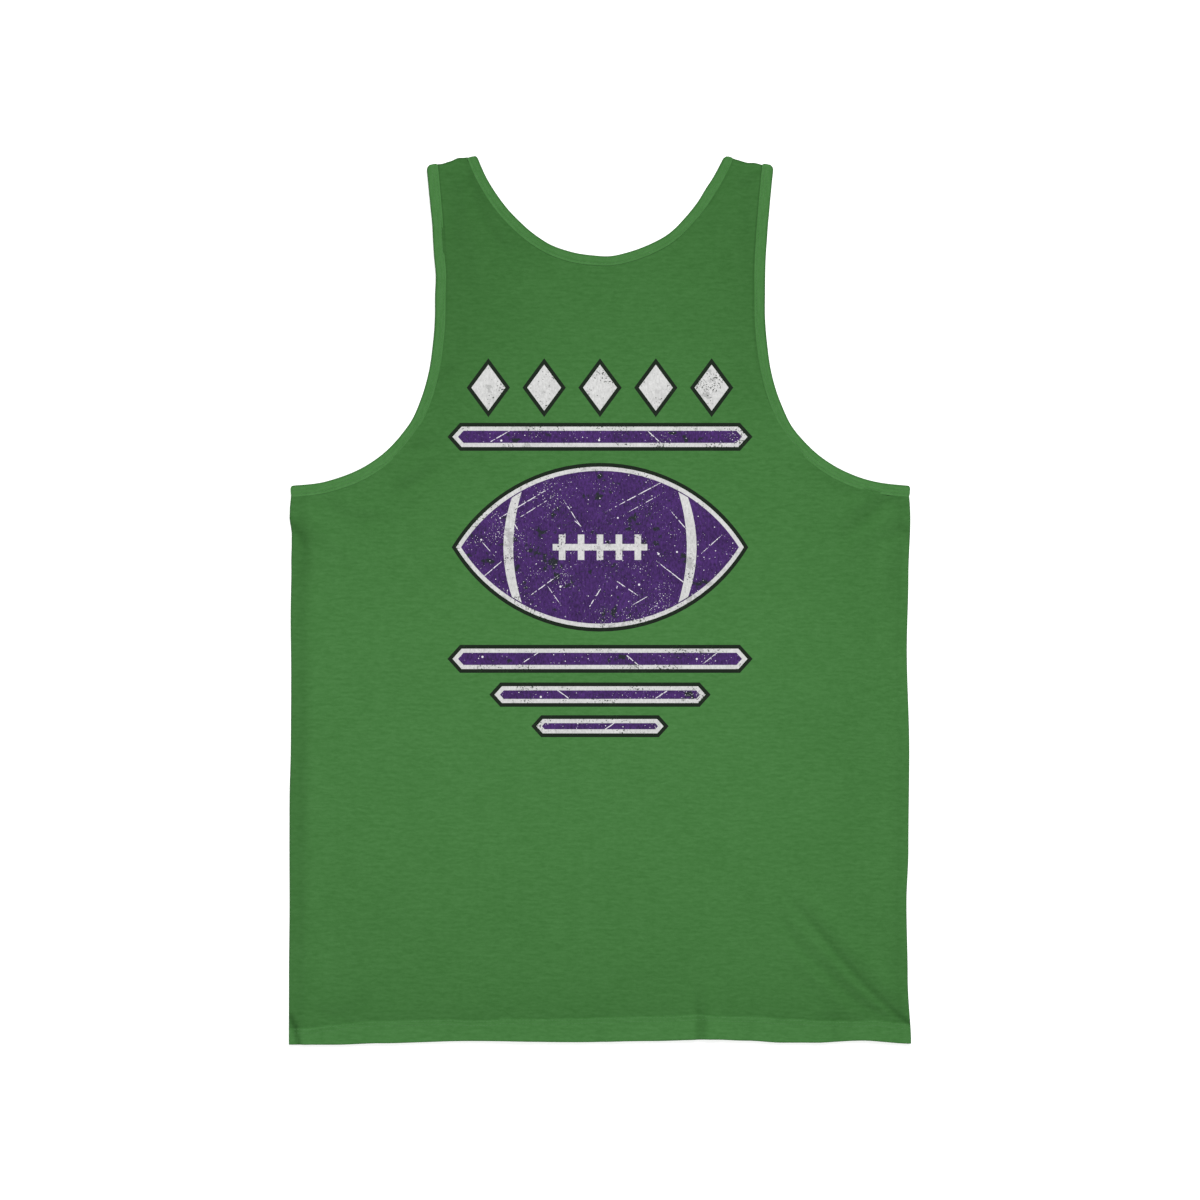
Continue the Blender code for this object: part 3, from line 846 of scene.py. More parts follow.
class Graph:
    """A material's nodes, with short ways to add and join them."""

    def __init__(self, name: str) -> None:
        """Makes the material."""
        self.material = bpy.data.materials.new(name)
        self.material.use_nodes = True
        self.tree = self.material.node_tree

    def node(self, kind: str, inputs: dict | None = None, **settings: object) -> bpy.types.Node:
        """Adds a node.

        Args:
            kind: Its kind, without Blender's prefix.
            inputs: What each input is set or joined to.
            **settings: Its properties.

        Returns:
            The node.
        """
        node = self.tree.nodes.new(f"ShaderNode{kind}")
        for key, value in settings.items():
            setattr(node, key, value)
        for key, value in (inputs or {}).items():
            self.feed(node.inputs[key], value)
        return node

    def feed(self, socket: Socket, value: object) -> None:
        """Joins a socket to another, or sets its value."""
        if isinstance(value, Socket):
            self.tree.links.new(value, socket)
        else:
            socket.default_value = value

    def surface(self, inputs: dict[str, object]) -> bpy.types.Material:
        """Dresses the shader.

        Args:
            inputs: What each input is set or joined to.

        Returns:
            The finished material.
        """
        shader = self.tree.nodes["Principled BSDF"]
        for key, value in inputs.items():
            self.feed(shader.inputs[key], value)
        return self.material

    def place(self) -> Socket:
        """Places on the piece, in metres."""
        return self.node("TexCoord").outputs["Object"]

    def math(self, operation: str, *values: object) -> Socket:
        """A sum of one to three values."""
        return self.node("Math", dict(enumerate(values)), operation=operation).outputs[0]

    def plus(self, base: object, value: object, share: float, middle: float = 0.0) -> Socket:
        """A base and a share of how far a value stands above its middle."""
        above = self.math("SUBTRACT", value, middle) if middle else value
        return self.math("MULTIPLY_ADD", above, share, base)

    def vector(self, operation: str, first: object, second: object) -> Socket:
        """A sum of two vectors."""
        return self.node("VectorMath", {0: first, 1: second}, operation=operation).outputs[0]

    def scaled(self, vector: object, scale: Triple, turn: float = 0.0) -> Socket:
        """A vector turned about Z by degrees, then scaled."""
        turned = self.node("VectorRotate", {"Vector": vector, "Angle": math.radians(turn)})
        return self.vector("MULTIPLY", turned.outputs[0], scale)

    def jittered(self, vector: object, scale: float, reach: Triple) -> Socket:
        """A vector moved about by noise.

        Args:
            vector: The vector.
            scale: The noise's scale.
            reach: How far it moves along each axis.

        Returns:
            The moved vector.
        """
        wander = self.node("TexNoise", {"Vector": vector, "Scale": scale, "Detail": 1.0})
        shift = self.vector("SUBTRACT", wander.outputs["Color"], (0.5, 0.5, 0.5))
        return self.vector("ADD", vector, self.vector("MULTIPLY", shift, reach))

    def noise(self, vector: object, scale: float = 1, detail: float = 2, rough: float = 0.5) -> Socket:
        """Noise between 0 and 1."""
        inputs = {"Vector": vector, "Scale": scale, "Detail": detail, "Roughness": rough}
        return self.node("TexNoise", inputs).outputs[0]

    def step(self, value: object, low: float, high: float) -> Socket:
        """0 below low, 1 above high, and eased between."""
        inputs = {"Value": value, "From Min": low, "From Max": high}
        return self.node("MapRange", inputs, interpolation_type="SMOOTHSTEP").outputs[0]

    def blend(self, share: object, first: object, second: object) -> Socket:
        """A colour between two colours.

        Args:
            share: How much there is of the second one.
            first: The first colour.
            second: The second one.

        Returns:
            The blend.
        """
        node = self.node("Mix", data_type="RGBA")
        for index, value in ((0, share), (6, first), (7, second)):
            self.feed(node.inputs[index], value)
        return node.outputs[2]

    def brightened(self, colour: object, value: object, saturation: object = 1.0) -> Socket:
        """A colour with its brightness, and its saturation, multiplied."""
        inputs = {"Color": colour, "Saturation": saturation, "Value": value}
        return self.node("HueSaturation", inputs).outputs[0]

    def bumped(self, height: object, strength: float, distance: float, under: object = None) -> Socket:
        """A surface normal from a height.

        Args:
            height: The height.
            strength: How strong the bumps are.
            distance: How high, in metres.
            under: The normal under them.

        Returns:
            The normal.
        """
        inputs = {"Height": height, "Strength": strength, "Distance": distance}
        if under is not None:
            inputs["Normal"] = under
        return self.node("Bump", inputs).outputs[0]

    def knit(self, vector: object, wale: float, course: float) -> Socket:
        """The face of a single jersey: columns of V-shaped loops, between 0 and 1.

        Args:
            vector: Places on the flat cloth, in metres.
            wale: The width of a column of loops, in metres.
            course: The height of a row of loops, in metres.

        Returns:
            The loops' height.
        """
        turn, slant, relief = 2 * math.pi, 1.3, 0.6
        parts = self.node("SeparateXYZ", {0: self.jittered(vector, 260.0, (wale, wale, 0.0))})
        column = self.math("FRACT", self.math("DIVIDE", parts.outputs[0], wale))
        leg = self.math("ABSOLUTE", self.math("SUBTRACT", column, 0.5))
        ridge = self.math("SINE", self.math("MULTIPLY", leg, turn))
        row = self.plus(self.math("DIVIDE", parts.outputs[1], course), leg, -slant)
        loop = self.plus(0.5, self.math("SINE", self.math("MULTIPLY", row, turn)), 0.5)
        return self.math("MULTIPLY", ridge, self.plus(1 - relief, loop, relief))


def paint(levels: Triple) -> tuple[float, ...]:
    """A colour in sRGB levels, as a colour socket takes it."""
    return *map(linear, levels), 1.0


@dataclass(frozen=True)
class Jersey:
    """Slub cotton single jersey."""

    name: str
    colour: Triple
    slub: float = 0.125
    mottle: float = 0.03
    fibre: float = 0.07
    # How deep the painted shade between the knit loops is.
    loops: float = 0.08
    deepening: float = 0.29
    # The share of the painted shade that deepens the saturation too.
    painted_shade_deepening: float = 0.4
    roughness: float = 0.93
    gloss: float = 0.1
    sheen: float = 0.04
    sheen_roughness: float = 0.6
    wale: float = 0.00078
    course: float = 0.0006
    knit_depth: float = 0.00009
    yarn_bend: Triple = (0.0, 0.0022, 0.0)
    yarn: Triple = (220.0, 480.0, 1.0)
    slubs: Triple = (75.0, 380.0, 1.0)
    slub_turn: float = 0.6

    def build(self) -> bpy.types.Material:
        """Dyes and knits the cloth.

        Returns:
            The material: dye, slubs, painted shade, loops and soft crumple.
        """
        graph = Graph(self.name)
        cloth = graph.node("UVMap", uv_map="Cloth").outputs[0]
        bent = graph.jittered(cloth, 160.0, self.yarn_bend)
        fine = graph.noise(graph.scaled(bent, self.yarn), detail=2.5, rough=0.55)
        long = graph.noise(graph.scaled(bent, self.slubs, self.slub_turn), detail=1.0)
        patch = graph.noise(cloth, scale=22.0, detail=3.0)
        fibre = graph.noise(cloth, scale=1400.0)
        knit = graph.knit(cloth, self.wale, self.course)
        value = graph.plus(1 - self.slub / 2, graph.step(fine, 0.25, 0.75), self.slub)
        value = graph.plus(value, graph.step(long, 0.3, 0.7), self.slub * 0.7)
        value = graph.plus(value, graph.step(patch, 0.3, 0.7), self.mottle)
        value = graph.math("SUBTRACT", value, self.slub * 0.35 + self.mottle / 2)
        value = graph.plus(value, fibre, self.fibre, middle=0.5)
        # Painted shade between the loops: the colour follows their height.
        value = graph.plus(value, knit, self.loops, middle=0.35)
        # Painted shade: the shade attribute darkens the colour in folds, by seams, at edges and up the
        # back.
        shade = graph.node("Attribute", attribute_name="shade").outputs["Fac"]
        # The saturation deepens as the colour darkens, part of the painted shade counted.
        deep = graph.math("MULTIPLY", value, graph.plus(1.0, shade, -self.painted_shade_deepening))
        deep = graph.plus(1 + self.deepening, deep, -self.deepening)
        value = graph.math("MULTIPLY", value, graph.math("SUBTRACT", 1.0, shade))
        normal = graph.bumped(graph.noise(cloth, scale=75.0, detail=3.0), 0.35, 0.0012)
        normal = graph.bumped(fine, 0.5, 0.0003, normal)
        normal = graph.bumped(knit, 1.0, self.knit_depth, normal)
        looks = {
            "Base Color": graph.brightened(paint(self.colour), value, deep),
            "Normal": graph.bumped(fibre, 0.4, 0.0001, normal),
            "Roughness": self.roughness,
            "Specular IOR Level": self.gloss,
            "Sheen Weight": self.sheen,
            "Sheen Roughness": self.sheen_roughness,
        }
        return graph.surface(looks)


@dataclass(frozen=True)
class Thread:
    """Twisted polyester sewing thread."""

    name: str
    colour: Triple
    twist: float = 0.00045
    roughness: float = 0.6

    def build(self) -> bpy.types.Material:
        """Twists and dyes the thread.

        Returns:
            The material: a twist across each stitch, bumped and with painted shade, and a soft gloss.
        """
        graph = Graph(self.name)
        place = graph.place()
        parts = graph.node("SeparateXYZ", {0: place}).outputs
        lay = graph.plus(parts[0], parts[1], 0.8)
        ply = graph.math("SINE", graph.math("MULTIPLY", lay, 2 * math.pi / self.twist))
        # Painted shade of the twist: the colour lightens and darkens with the plies.
        value = graph.plus(graph.plus(1.0, ply, 0.08), graph.noise(place, scale=60.0), 0.16, middle=0.5)
        colour = graph.brightened(paint(self.colour), value)
        normal = graph.bumped(ply, 0.5, 0.00006)
        return graph.surface({"Base Color": colour, "Normal": normal, "Roughness": self.roughness})


@dataclass(frozen=True)
class Scratch:
    """A long thin scratch in the print: its middle, turn, length and width."""

    x: float
    y: float
    turn: float
    length: float
    width: float = 0.8


SCRATCHES: tuple[Scratch, ...] = (
    Scratch(-62, 80, 31, 50), Scratch(-55, 75, 32, 34, 0.6), Scratch(-70, 62, -60, 20),
    Scratch(-22, 70, -57, 28), Scratch(-17, 62, -40, 14, 0.6), Scratch(30, 86, 28, 46),
    Scratch(37, 80, 29, 30, 0.6), Scratch(68, 62, -50, 30), Scratch(62, 20, -38, 36),
    Scratch(67, 16, -37, 20, 0.6), Scratch(92, 46, 42, 22), Scratch(-92, 42, -48, 18, 0.6),
    Scratch(-88, 26, 40, 22), Scratch(-46, 12, 36, 30), Scratch(-38, 4, -55, 20, 0.6),
    Scratch(-4, 2, 58, 20), Scratch(22, 10, -34, 24), Scratch(34, 0, 30, 18, 0.6),
    Scratch(-84, 134, 30, 24), Scratch(44, 135, -42, 20), Scratch(-58, -48, 33, 24),
    Scratch(26, -49, -40, 22), Scratch(92, -47, 38, 18, 0.6), Scratch(-30, -78, -36, 20),
    Scratch(52, -77, 33, 22), Scratch(8, -104, 34, 20),
)


@dataclass(frozen=True)
class Ink:
    """Worn screen-print ink: scratched and dusted with one colour, blotted and chipped with another."""

    name: str
    colour: Triple
    scratched: Triple = (0, 0, 0)
    chipped: Triple = (40, 48, 40)
    scratches: tuple[Scratch, ...] = ()
    blots: float = 0.0
    chips: float = 0.0
    grain: float = 0.12
    roughness: float = 0.72
    gloss: float = 0.15
    wale: float = 0.00078
    course: float = 0.0006
    spots: tuple[Triple, ...] = ((62.0, 0.62, 0.085), (210.0, 0.72, 0.12))
    spot_edge: float = 0.02

    def scratch_share(self, graph: Graph, place: Socket, fine: Socket) -> Socket:
        """Where scratches, dust and round spots have taken the ink off.

        Args:
            graph: The material's nodes.
            place: Places on the print, in metres.
            fine: Fine noise, which breaks every mark up.

        Returns:
            The share of bare cloth, between 0 and 1.
        """
        marks: object = 0.0
        for scratch in self.scratches:
            inputs = {
                "Vector": place,
                "Location": (scratch.x * MM, scratch.y * MM, 0.0),
                "Rotation": (0.0, 0.0, math.radians(scratch.turn)),
                "Scale": (scratch.length * MM, scratch.width * MM, 1.0),
            }
            near = graph.node("Mapping", inputs, vector_type="TEXTURE").outputs[0]
            line = graph.node("TexGradient", {0: near}, gradient_type="SPHERICAL").outputs["Fac"]
            marks = graph.math("MAXIMUM", marks, line)
        broken = graph.step(graph.noise(place, scale=260.0, detail=1.0), 0.36, 0.5)
        marks = graph.math("MULTIPLY", marks, graph.plus(0.5, broken, 0.5))
        marks = graph.plus(marks, fine, 0.9, middle=0.5)
        cluster = graph.step(graph.noise(place, scale=30.0, detail=2.5), 0.48, 0.68)
        dust = graph.plus(graph.noise(place, scale=900.0, detail=1.0), cluster, 0.085)
        worn = graph.math("MAXIMUM", graph.step(marks, 0.48, 0.58), graph.step(dust, 0.735, 0.77))
        for scale, share, radius in self.spots:
            inputs = {"Vector": place, "Scale": scale}
            cells = graph.node("TexVoronoi", inputs, voronoi_dimensions="2D").outputs
            size = graph.node("SeparateColor", {0: cells["Color"]}).outputs[0]
            reach = graph.plus(-self.spot_edge, graph.step(size, share, 1.0), radius)
            spot = graph.step(graph.math("SUBTRACT", reach, cells["Distance"]), 0, self.spot_edge)
            worn = graph.math("MAXIMUM", worn, spot)
        return worn

    def build(self) -> bpy.types.Material:
        """Mixes and wears the ink.

        Returns:
            The material: ink, its grain, its wear, and the loops that show through it.
        """
        graph = Graph(self.name)
        place = graph.place()
        fine = graph.noise(place, scale=1250.0)
        fibre = graph.noise(graph.scaled(place, (620.0, 300.0, 1.0)), detail=3.0, rough=0.65)
        value = graph.plus(1.0, fibre, self.grain * 4, middle=0.5)
        cloudy = graph.noise(place, scale=70.0, detail=3.0)
        value = graph.plus(value, cloudy, self.grain * 1.5, middle=0.5)
        near_blots = graph.step(graph.noise(place, scale=17.0, detail=1.0), 0.42, 0.62)
        blot = graph.plus(graph.noise(place, scale=115.0, detail=4.0, rough=0.6), near_blots, 0.1)
        blot = graph.plus(blot, fine, 0.12, middle=0.5)
        near_chips = graph.step(graph.noise(place, scale=42.0), 0.44, 0.66)
        chip = graph.plus(graph.noise(place, scale=620.0, detail=3.0, rough=0.6), near_chips, 0.12)
        blotted = graph.math("MULTIPLY", graph.step(blot, 0.65, 0.72), self.blots)
        chipped = graph.math("MULTIPLY", graph.step(chip, 0.655, 0.7), self.chips)
        off = graph.math("MAXIMUM", blotted, chipped)
        colour = graph.blend(off, graph.brightened(paint(self.colour), value), paint(self.chipped))
        if self.scratches:
            off = self.scratch_share(graph, place, fine)
            colour = graph.blend(off, colour, paint(self.scratched))
        normal = graph.bumped(graph.noise(place, scale=75.0, detail=3.0), 0.3, 0.001)
        normal = graph.bumped(graph.knit(place, self.wale, self.course), 0.8, 0.00006, normal)
        looks = {
            "Base Color": colour,
            "Normal": graph.bumped(off, 0.5, -0.00005, normal),
            "Roughness": self.roughness,
            "Specular IOR Level": self.gloss,
        }
        return graph.surface(looks)


BODY_JERSEY = Jersey("Green slub jersey", (68, 120, 61.5))
BINDING_JERSEY = Jersey("Green binding jersey", (69, 121, 62.5), slub=0.1)
SEAM_THREAD = Thread("Green thread", (70, 121, 65))
DARK_INK = Ink("Dark ink", (29, 38, 29), chipped=(50, 78, 47), chips=0.25, grain=0.1, gloss=0.05)
WHITE_INK = Ink("White ink", (205, 205, 204), blots=0.3, chips=0.9, grain=0.2)
WORN_INK = Ink(
    "Worn white ink", (205, 205, 204), chipped=(58, 48, 66), blots=0.3, chips=0.95, grain=0.2,
)
PURPLE_INK = Ink(
    "Purple ink", (65, 37, 95), scratched=(228, 225, 230), chipped=(30, 40, 33), scratches=SCRATCHES,
    blots=0.9, chips=0.5, grain=0.6,
)


def activate(piece: Piece) -> None:
    """Selects one piece alone and makes it active."""
    bpy.ops.object.select_all(action="DESELECT")
    piece.select_set(True)
    bpy.context.view_layer.objects.active = piece


def apply_modifiers(piece: Piece) -> None:
    """Applies every modifier of a piece, in order."""
    activate(piece)
    for modifier in list(piece.modifiers):
        bpy.ops.object.modifier_apply(modifier=modifier.name)


def edit_all() -> None:
    """Opens the active piece for editing, all of it selected."""
    bpy.ops.object.mode_set(mode="EDIT")
    bpy.ops.mesh.select_all(action="SELECT")


def face_outwards() -> None:
    """Turns every face of the edited piece outwards, and closes it again."""
    bpy.ops.mesh.normals_make_consistent(inside=False)
    bpy.ops.object.mode_set(mode="OBJECT")


def add_mesh(name: str, points: Array, faces: Sequence[Face]) -> Piece:
    """Makes a piece.

    Args:
        name: Its name.
        points: Its points, in millimetres.
        faces: The points of each face.

    Returns:
        The piece, smooth all over.
    """
    mesh = bpy.data.meshes.new(name)
    mesh.from_pydata((points * MM).tolist(), [], faces)
    mesh.update()
    piece = bpy.data.objects.new(name, mesh)
    bpy.context.scene.collection.objects.link(piece)
    mesh.shade_smooth()
    return piece


def add_cloth_maps(mesh: bpy.types.Mesh, flat: Array, shade: Array) -> None:
    """Keeps each point's place on the flat cloth as the UV map Cloth, and its painted shade.

    Args:
        mesh: The cloth's mesh.
        flat: The places, in millimetres.
        shade: How much darker its painted shade makes each.
    """
    layer = mesh.uv_layers.new(name="Cloth")
    corners = np.empty(len(mesh.loops), dtype=np.int32)
    mesh.loops.foreach_get("vertex_index", corners)
    layer.data.foreach_set("uv", (flat[corners] * MM).astype(np.float32).ravel())
    # The painted shade, by which the cloth's material darkens its colour.
    attribute = mesh.attributes.new("shade", "FLOAT", "POINT")
    attribute.data.foreach_set("value", shade.astype(np.float32))


def finish_piece(piece: Piece, material: bpy.types.Material) -> Piece:
    """Gives a piece its material, and lets it ride on the garment.

    Args:
        piece: The piece.
        material: Its material.

    Returns:
        The same piece.
    """
    piece.data.materials.clear()
    piece.data.materials.append(material)
    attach(piece, BODY)
    LOG.info("%s: %d faces", piece.name, len(piece.data.polygons))
    return piece


@dataclass(frozen=True)
class Cut:
    """A piece's flat size and area, in metres."""

    size: Pair
    area: float


@dataclass
class Panel:
    """A cut panel: a thin cloth shell between the garment's centre and its edges."""

    pattern: Pattern
    relief: Relief
    layer: Layer
    columns: tuple[int, int] = (30, 52)
    body_rows: tuple[int, int] = (62, 66)
    chest_rows: int = 46
    strap_rows: int = 36
    fine_from: float = 0.5
    fine_up_to: float = 0.27
    edge_columns: tuple[float, ...] = (6.0, 3.6, 2.2, 1.3, 0.75, 0.35, 0.1, 0.0)
    hem_rows: tuple[float, ...] = (
        0.0, 0.12, 0.3, 0.6, 1.2, 2.2, 4.0, 7.0, 10.0, 13.0, 15.5, 17.6, 18.6, 19.3, 20.0, 21.0, 22.6,
    )
    shoulder_rows: tuple[float, ...] = (0.35, 0.6, 0.78, 0.88, 0.94, 0.98, 1.0)
    into_binding: float = 1.0
    front_inset: float = 0.8

    def across(self) -> Array:
        """Each column's share of the way from the centre to the edge."""
        edge = 1 - np.array(self.edge_columns) / self.pattern.half_chest
        coarse = np.linspace(0, self.fine_from, self.columns[0], endpoint=False)
        return np.concatenate([coarse, np.linspace(self.fine_from, edge[0], self.columns[1]), edge[1:]])

    def rows(self, side: Side) -> tuple[Array, Array]:
        """Sets out one half's rows, from hem to shoulder.

        Args:
            side: The half.

        Returns:
            Each row's inner point and its outer one.
        """
        cut = self.pattern
        steps = self.chest_rows + self.strap_rows
        neck = cut.neck_line(self.layer, cut.neck_binding - self.into_binding, self.strap_rows)
        armhole = cut.armhole_line(self.layer, cut.armhole_binding - self.into_binding, steps)
        hem_y = cut.hem_y + np.array(self.hem_rows)
        fine = np.linspace(0, self.fine_up_to, self.body_rows[0], endpoint=False)[1:]
        coarse = np.linspace(self.fine_up_to, 1, self.body_rows[1], endpoint=False)
        share = np.concatenate([fine, coarse])
        outer_y = np.concatenate([hem_y, hem_y[-1] + (armhole[0, 1] - hem_y[-1]) * share])
        inner_y = np.concatenate([hem_y, hem_y[-1] + (cut.centre_at_underarm - hem_y[-1]) * share])
        chest = np.linspace(cut.centre_at_underarm, neck[0, 1], self.chest_rows + 1)[:-1]
        inner_y = np.concatenate([inner_y, chest])
        armhole[0, 0] = abs(float(cut.side_x(side, armhole[0, 1])))
        outer = np.stack([np.abs(cut.side_x(side, outer_y)), outer_y], axis=1)
        inner = np.stack([np.zeros(len(inner_y)), inner_y], axis=1)
        # Closer rows where the cloth rolls over the shoulder.
        shares = np.array(self.shoulder_rows)[:, None]
        ends = [line[-2] + shares * (line[-1] - line[-2]) for line in (neck, armhole)]
        inner = np.vstack([inner, neck[:-1], ends[0]])
        outer = np.vstack([outer, armhole[:-1], ends[1]])
        return mirrored(inner, side), mirrored(outer, side)

    def grid(self) -> tuple[Array, list[Face]]:
        """Sets out both halves, joined along the centre.

        Returns:
            The flat points and the faces.
        """
        inset = self.front_inset if self.layer is Layer.FRONT else 0.0
        indices: dict[Pair, int] = {}
        faces: list[Face] = []
        for side in Side:
            inner, outer = self.rows(side)
            points = inner[:, None] + self.across()[None, :, None] * (outer - inner)[:, None]
            points[..., 1] = self.pattern.swayed(points[..., 0], points[..., 1], inset)
            keys = (np.round(points, 3) + 0.0).tolist()
            number = [[indices.setdefault((x, y), len(indices)) for x, y in row] for row in keys]
            for low, high in zip(number, number[1:]):
                faces += [face[:: side.value] for face in zip(low, low[1:], high[1:], high)]
        return np.array(list(indices)), faces

    def build(self, finish: Jersey) -> Piece:
        """Args:
            finish: Its cloth.

        Returns:
            The panel.
        """
        flat, faces = self.grid()
        at = self.relief.measures(self.layer, *flat.T)
        if self.layer is Layer.BACK:
            height, shade = self.relief.back(at)
        else:
            height, shade = self.relief.front(at)
            faces = [face[::-1] for face in faces]
        name = f"{self.layer.value}_panel"
        swayed = flat[:, 1] + self.pattern.shoulder_rise(*flat.T)
        piece = add_mesh(f"{name}_cloth", settled(np.column_stack([flat[:, 0], swayed, height])), faces)
        add_cloth_maps(piece.data, flat, shade)
        self.add_thickness(piece, at)
        apply_modifiers(piece)
        finish_piece(piece, finish.build())
        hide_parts(name)
        return piece

    def add_thickness(self, piece: Piece, at: Measures) -> None:
        """Gives the panel its thickness: double in the turned hem, thin in bindings and at edges.

        Args:
            piece: The panel.
            at: Where its points lie.
        """
        relief = self.relief
        doubled = at["rise"] < -relief.hem_step_ease / 2
        thickness = np.where(doubled, relief.hem_cloth, relief.cloth)
        in_binding = 1 - smooth(at["binding"] - self.into_binding)
        thickness += in_binding * (relief.pressed_cloth - thickness)
        turned = 1 - smooth(at["outline"] / relief.roll)
        thickness += turned * (relief.edge_cloth - thickness)
        group = piece.vertex_groups.new(name="Thickness")
        for index, share in enumerate((thickness / relief.hem_cloth).tolist()):
            group.add([index], share, "REPLACE")
        wall = piece.modifiers.new("Wall", "SOLIDIFY")
        wall.thickness = relief.hem_cloth * MM
        wall.vertex_group = group.name
        wall.thickness_vertex_group = 0.0
        wall.offset = -1.0


@dataclass
class Binding:
    """A strip folded over an opening's edge: a ring that turns over at its ends."""

    pattern: Pattern
    name: str
    width: float
    thickness: float = 1.6
    wall: float = 0.5
    front_run: float = 0.8
    back_run: float = 2.7
    overlap: float = 0.75
    crown: float = 0.12
    fold_radius: float = 0.9
    fold_steps: tuple[float, ...] = (0.0, 0.06, 0.2, 0.4, 0.65, 1.0)
    flat_from: float = 1.6
    flat_steps: int = 4
    lip: float = 0.35
    lip_fall: float = 0.4
    lip_steps: Triple = (0.5, 0.15, 0.05)
    # Where the slot's closed end starts to round and is half round, and how open it is there.
    slot_end: Triple = (0.4, 0.1, 0.6)
    stitch_rows: Pair = (1.3, 4.3)
    # Painted shade beside the strip's inner seam, lighter where negative, and how wide it is.
    seam_shade: float = -0.05
    seam_width: float = 1.1
    shadows: Shadows = ()
    # Painted shade added all over the strip, lighter where negative.
    tone: float = 0.0
    corners: Pair = (2.4, 4.0)
    inner_corner: float = 2.2
    corner_margins: Pair = (1.0, 1.5)
    groove: float = 0.16
    groove_width: float = 0.4
    stitches_sunk: float = 0.064
    straight_down: float = 0.999
    groove_steps: tuple[float, ...] = (-0.75, -0.35, 0.0, 0.35, 0.75)
    turn_steps: int = 12
    shoulder_proud: float = 0.35
    pucker: float = 0.07
    pucker_length: float = 7.0
    pucker_reach: float = 0.5
    sway: float = 0.12
    sway_length: float = 16.0
    back_face: float = 40.0
    flat_size: Pair = (0.0, 0.0)

    def run(self, layer: Layer) -> tuple[Array, Array]:
        """The opening's edge and the panel's edge along one layer."""
        raise NotImplementedError

    def ends(self) -> tuple[Array, Array]:
        """The directions in which the ring turns over, at its start and at its end."""
        raise NotImplementedError

    @property
    def radius(self) -> float:
        """The radius of the turn, at the middle of the thickness."""
        return (self.back_run - self.front_run) / 2

    @property
    def reach(self) -> float:
        """How far the turn stands out beyond the runs."""
        return self.radius + self.thickness / 2

    def shoulder_normal(self, side: Side) -> Array:
        """The direction in which a shoulder edge faces."""
        fall = math.radians(self.pattern.shoulder_fall)
        return np.array([side.value * math.sin(fall), math.cos(fall)])

    def stations(self) -> tuple[Array, Array, Array]:
        """Sets out the ring's stations.

        Returns:
            Each one's point on the opening's edge, the one on the panel's edge, and the way outwards.
        """
        back = list(zip(*self.run(Layer.BACK)))
        front = list(zip(*self.run(Layer.FRONT)))
        near, far = self.ends()
        turns = [math.pi * step / self.turn_steps for step in range(1, self.turn_steps)]
        # The angle of the turn is 0 on the back run and pi on the front one.
        ring = [(pair, far, 0.0) for pair in back]
        ring += [(back[-1], far, angle) for angle in turns]
        ring += [(pair, far, math.pi) for pair in front[::-1]]
        ring += [(back[0], near, angle) for angle in turns[::-1]]
        openings, panels, normals = [], [], []
        for (opening, panel), out, angle in ring:
            shift = out * self.radius * math.sin(angle)
            z = (self.back_run + self.front_run) / 2 + self.radius * math.cos(angle)
            openings.append([*(opening + shift), z])
            panels.append([*(panel + shift), z])
            normals.append([*(out * math.sin(angle)), math.cos(angle)])
        return np.array(openings), np.array(panels), np.array(normals)

    def section(self) -> Array:
        """The folded strip's outline.

        Returns:
            How far each point is from the opening, and how far outwards.
        """
        half, wide = self.thickness / 2, self.width + self.overlap
        grooves = [self.width - row for row in self.stitch_rows]
        near = sorted(place + step for place in grooves for step in self.groove_steps)
        fold = np.array(self.fold_steps) * self.fold_radius
        between = np.linspace(self.flat_from, min(near) - self.groove_width, self.flat_steps)
        lip = [wide - step for step in self.lip_steps]
        across = np.array([*fold, *between, *near, *lip[:2], wide])
        height = np.full(across.shape, half) + self.crown * np.sin(math.pi * across / wide)
        height -= sum(self.groove * bell(across - place, self.groove_width) for place in grooves)
        to_fold = (self.fold_radius - across) / self.fold_radius
        rounded = half * np.sqrt(np.clip(1 - to_fold**2, 0, 1))
        height = np.where(across < self.fold_radius, rounded, height)
        height -= np.clip((across - (wide - self.lip)) / self.lip, 0, 1) ** 2 * self.lip_fall
        outer = np.column_stack([across, height])
        slot, wall = half - self.wall, self.wall
        start, middle, open_share = self.slot_end
        end = [(wall + start, slot), (wall + middle, slot * open_share)]
        within = [(lip[2], slot), (wide / 2, slot), *end]
        inner = np.array([*within, (wall, 0.0), *((place, -high) for place, high in within[::-1])])
        return np.vstack([outer, inner, outer[:0:-1] * (1, -1)])

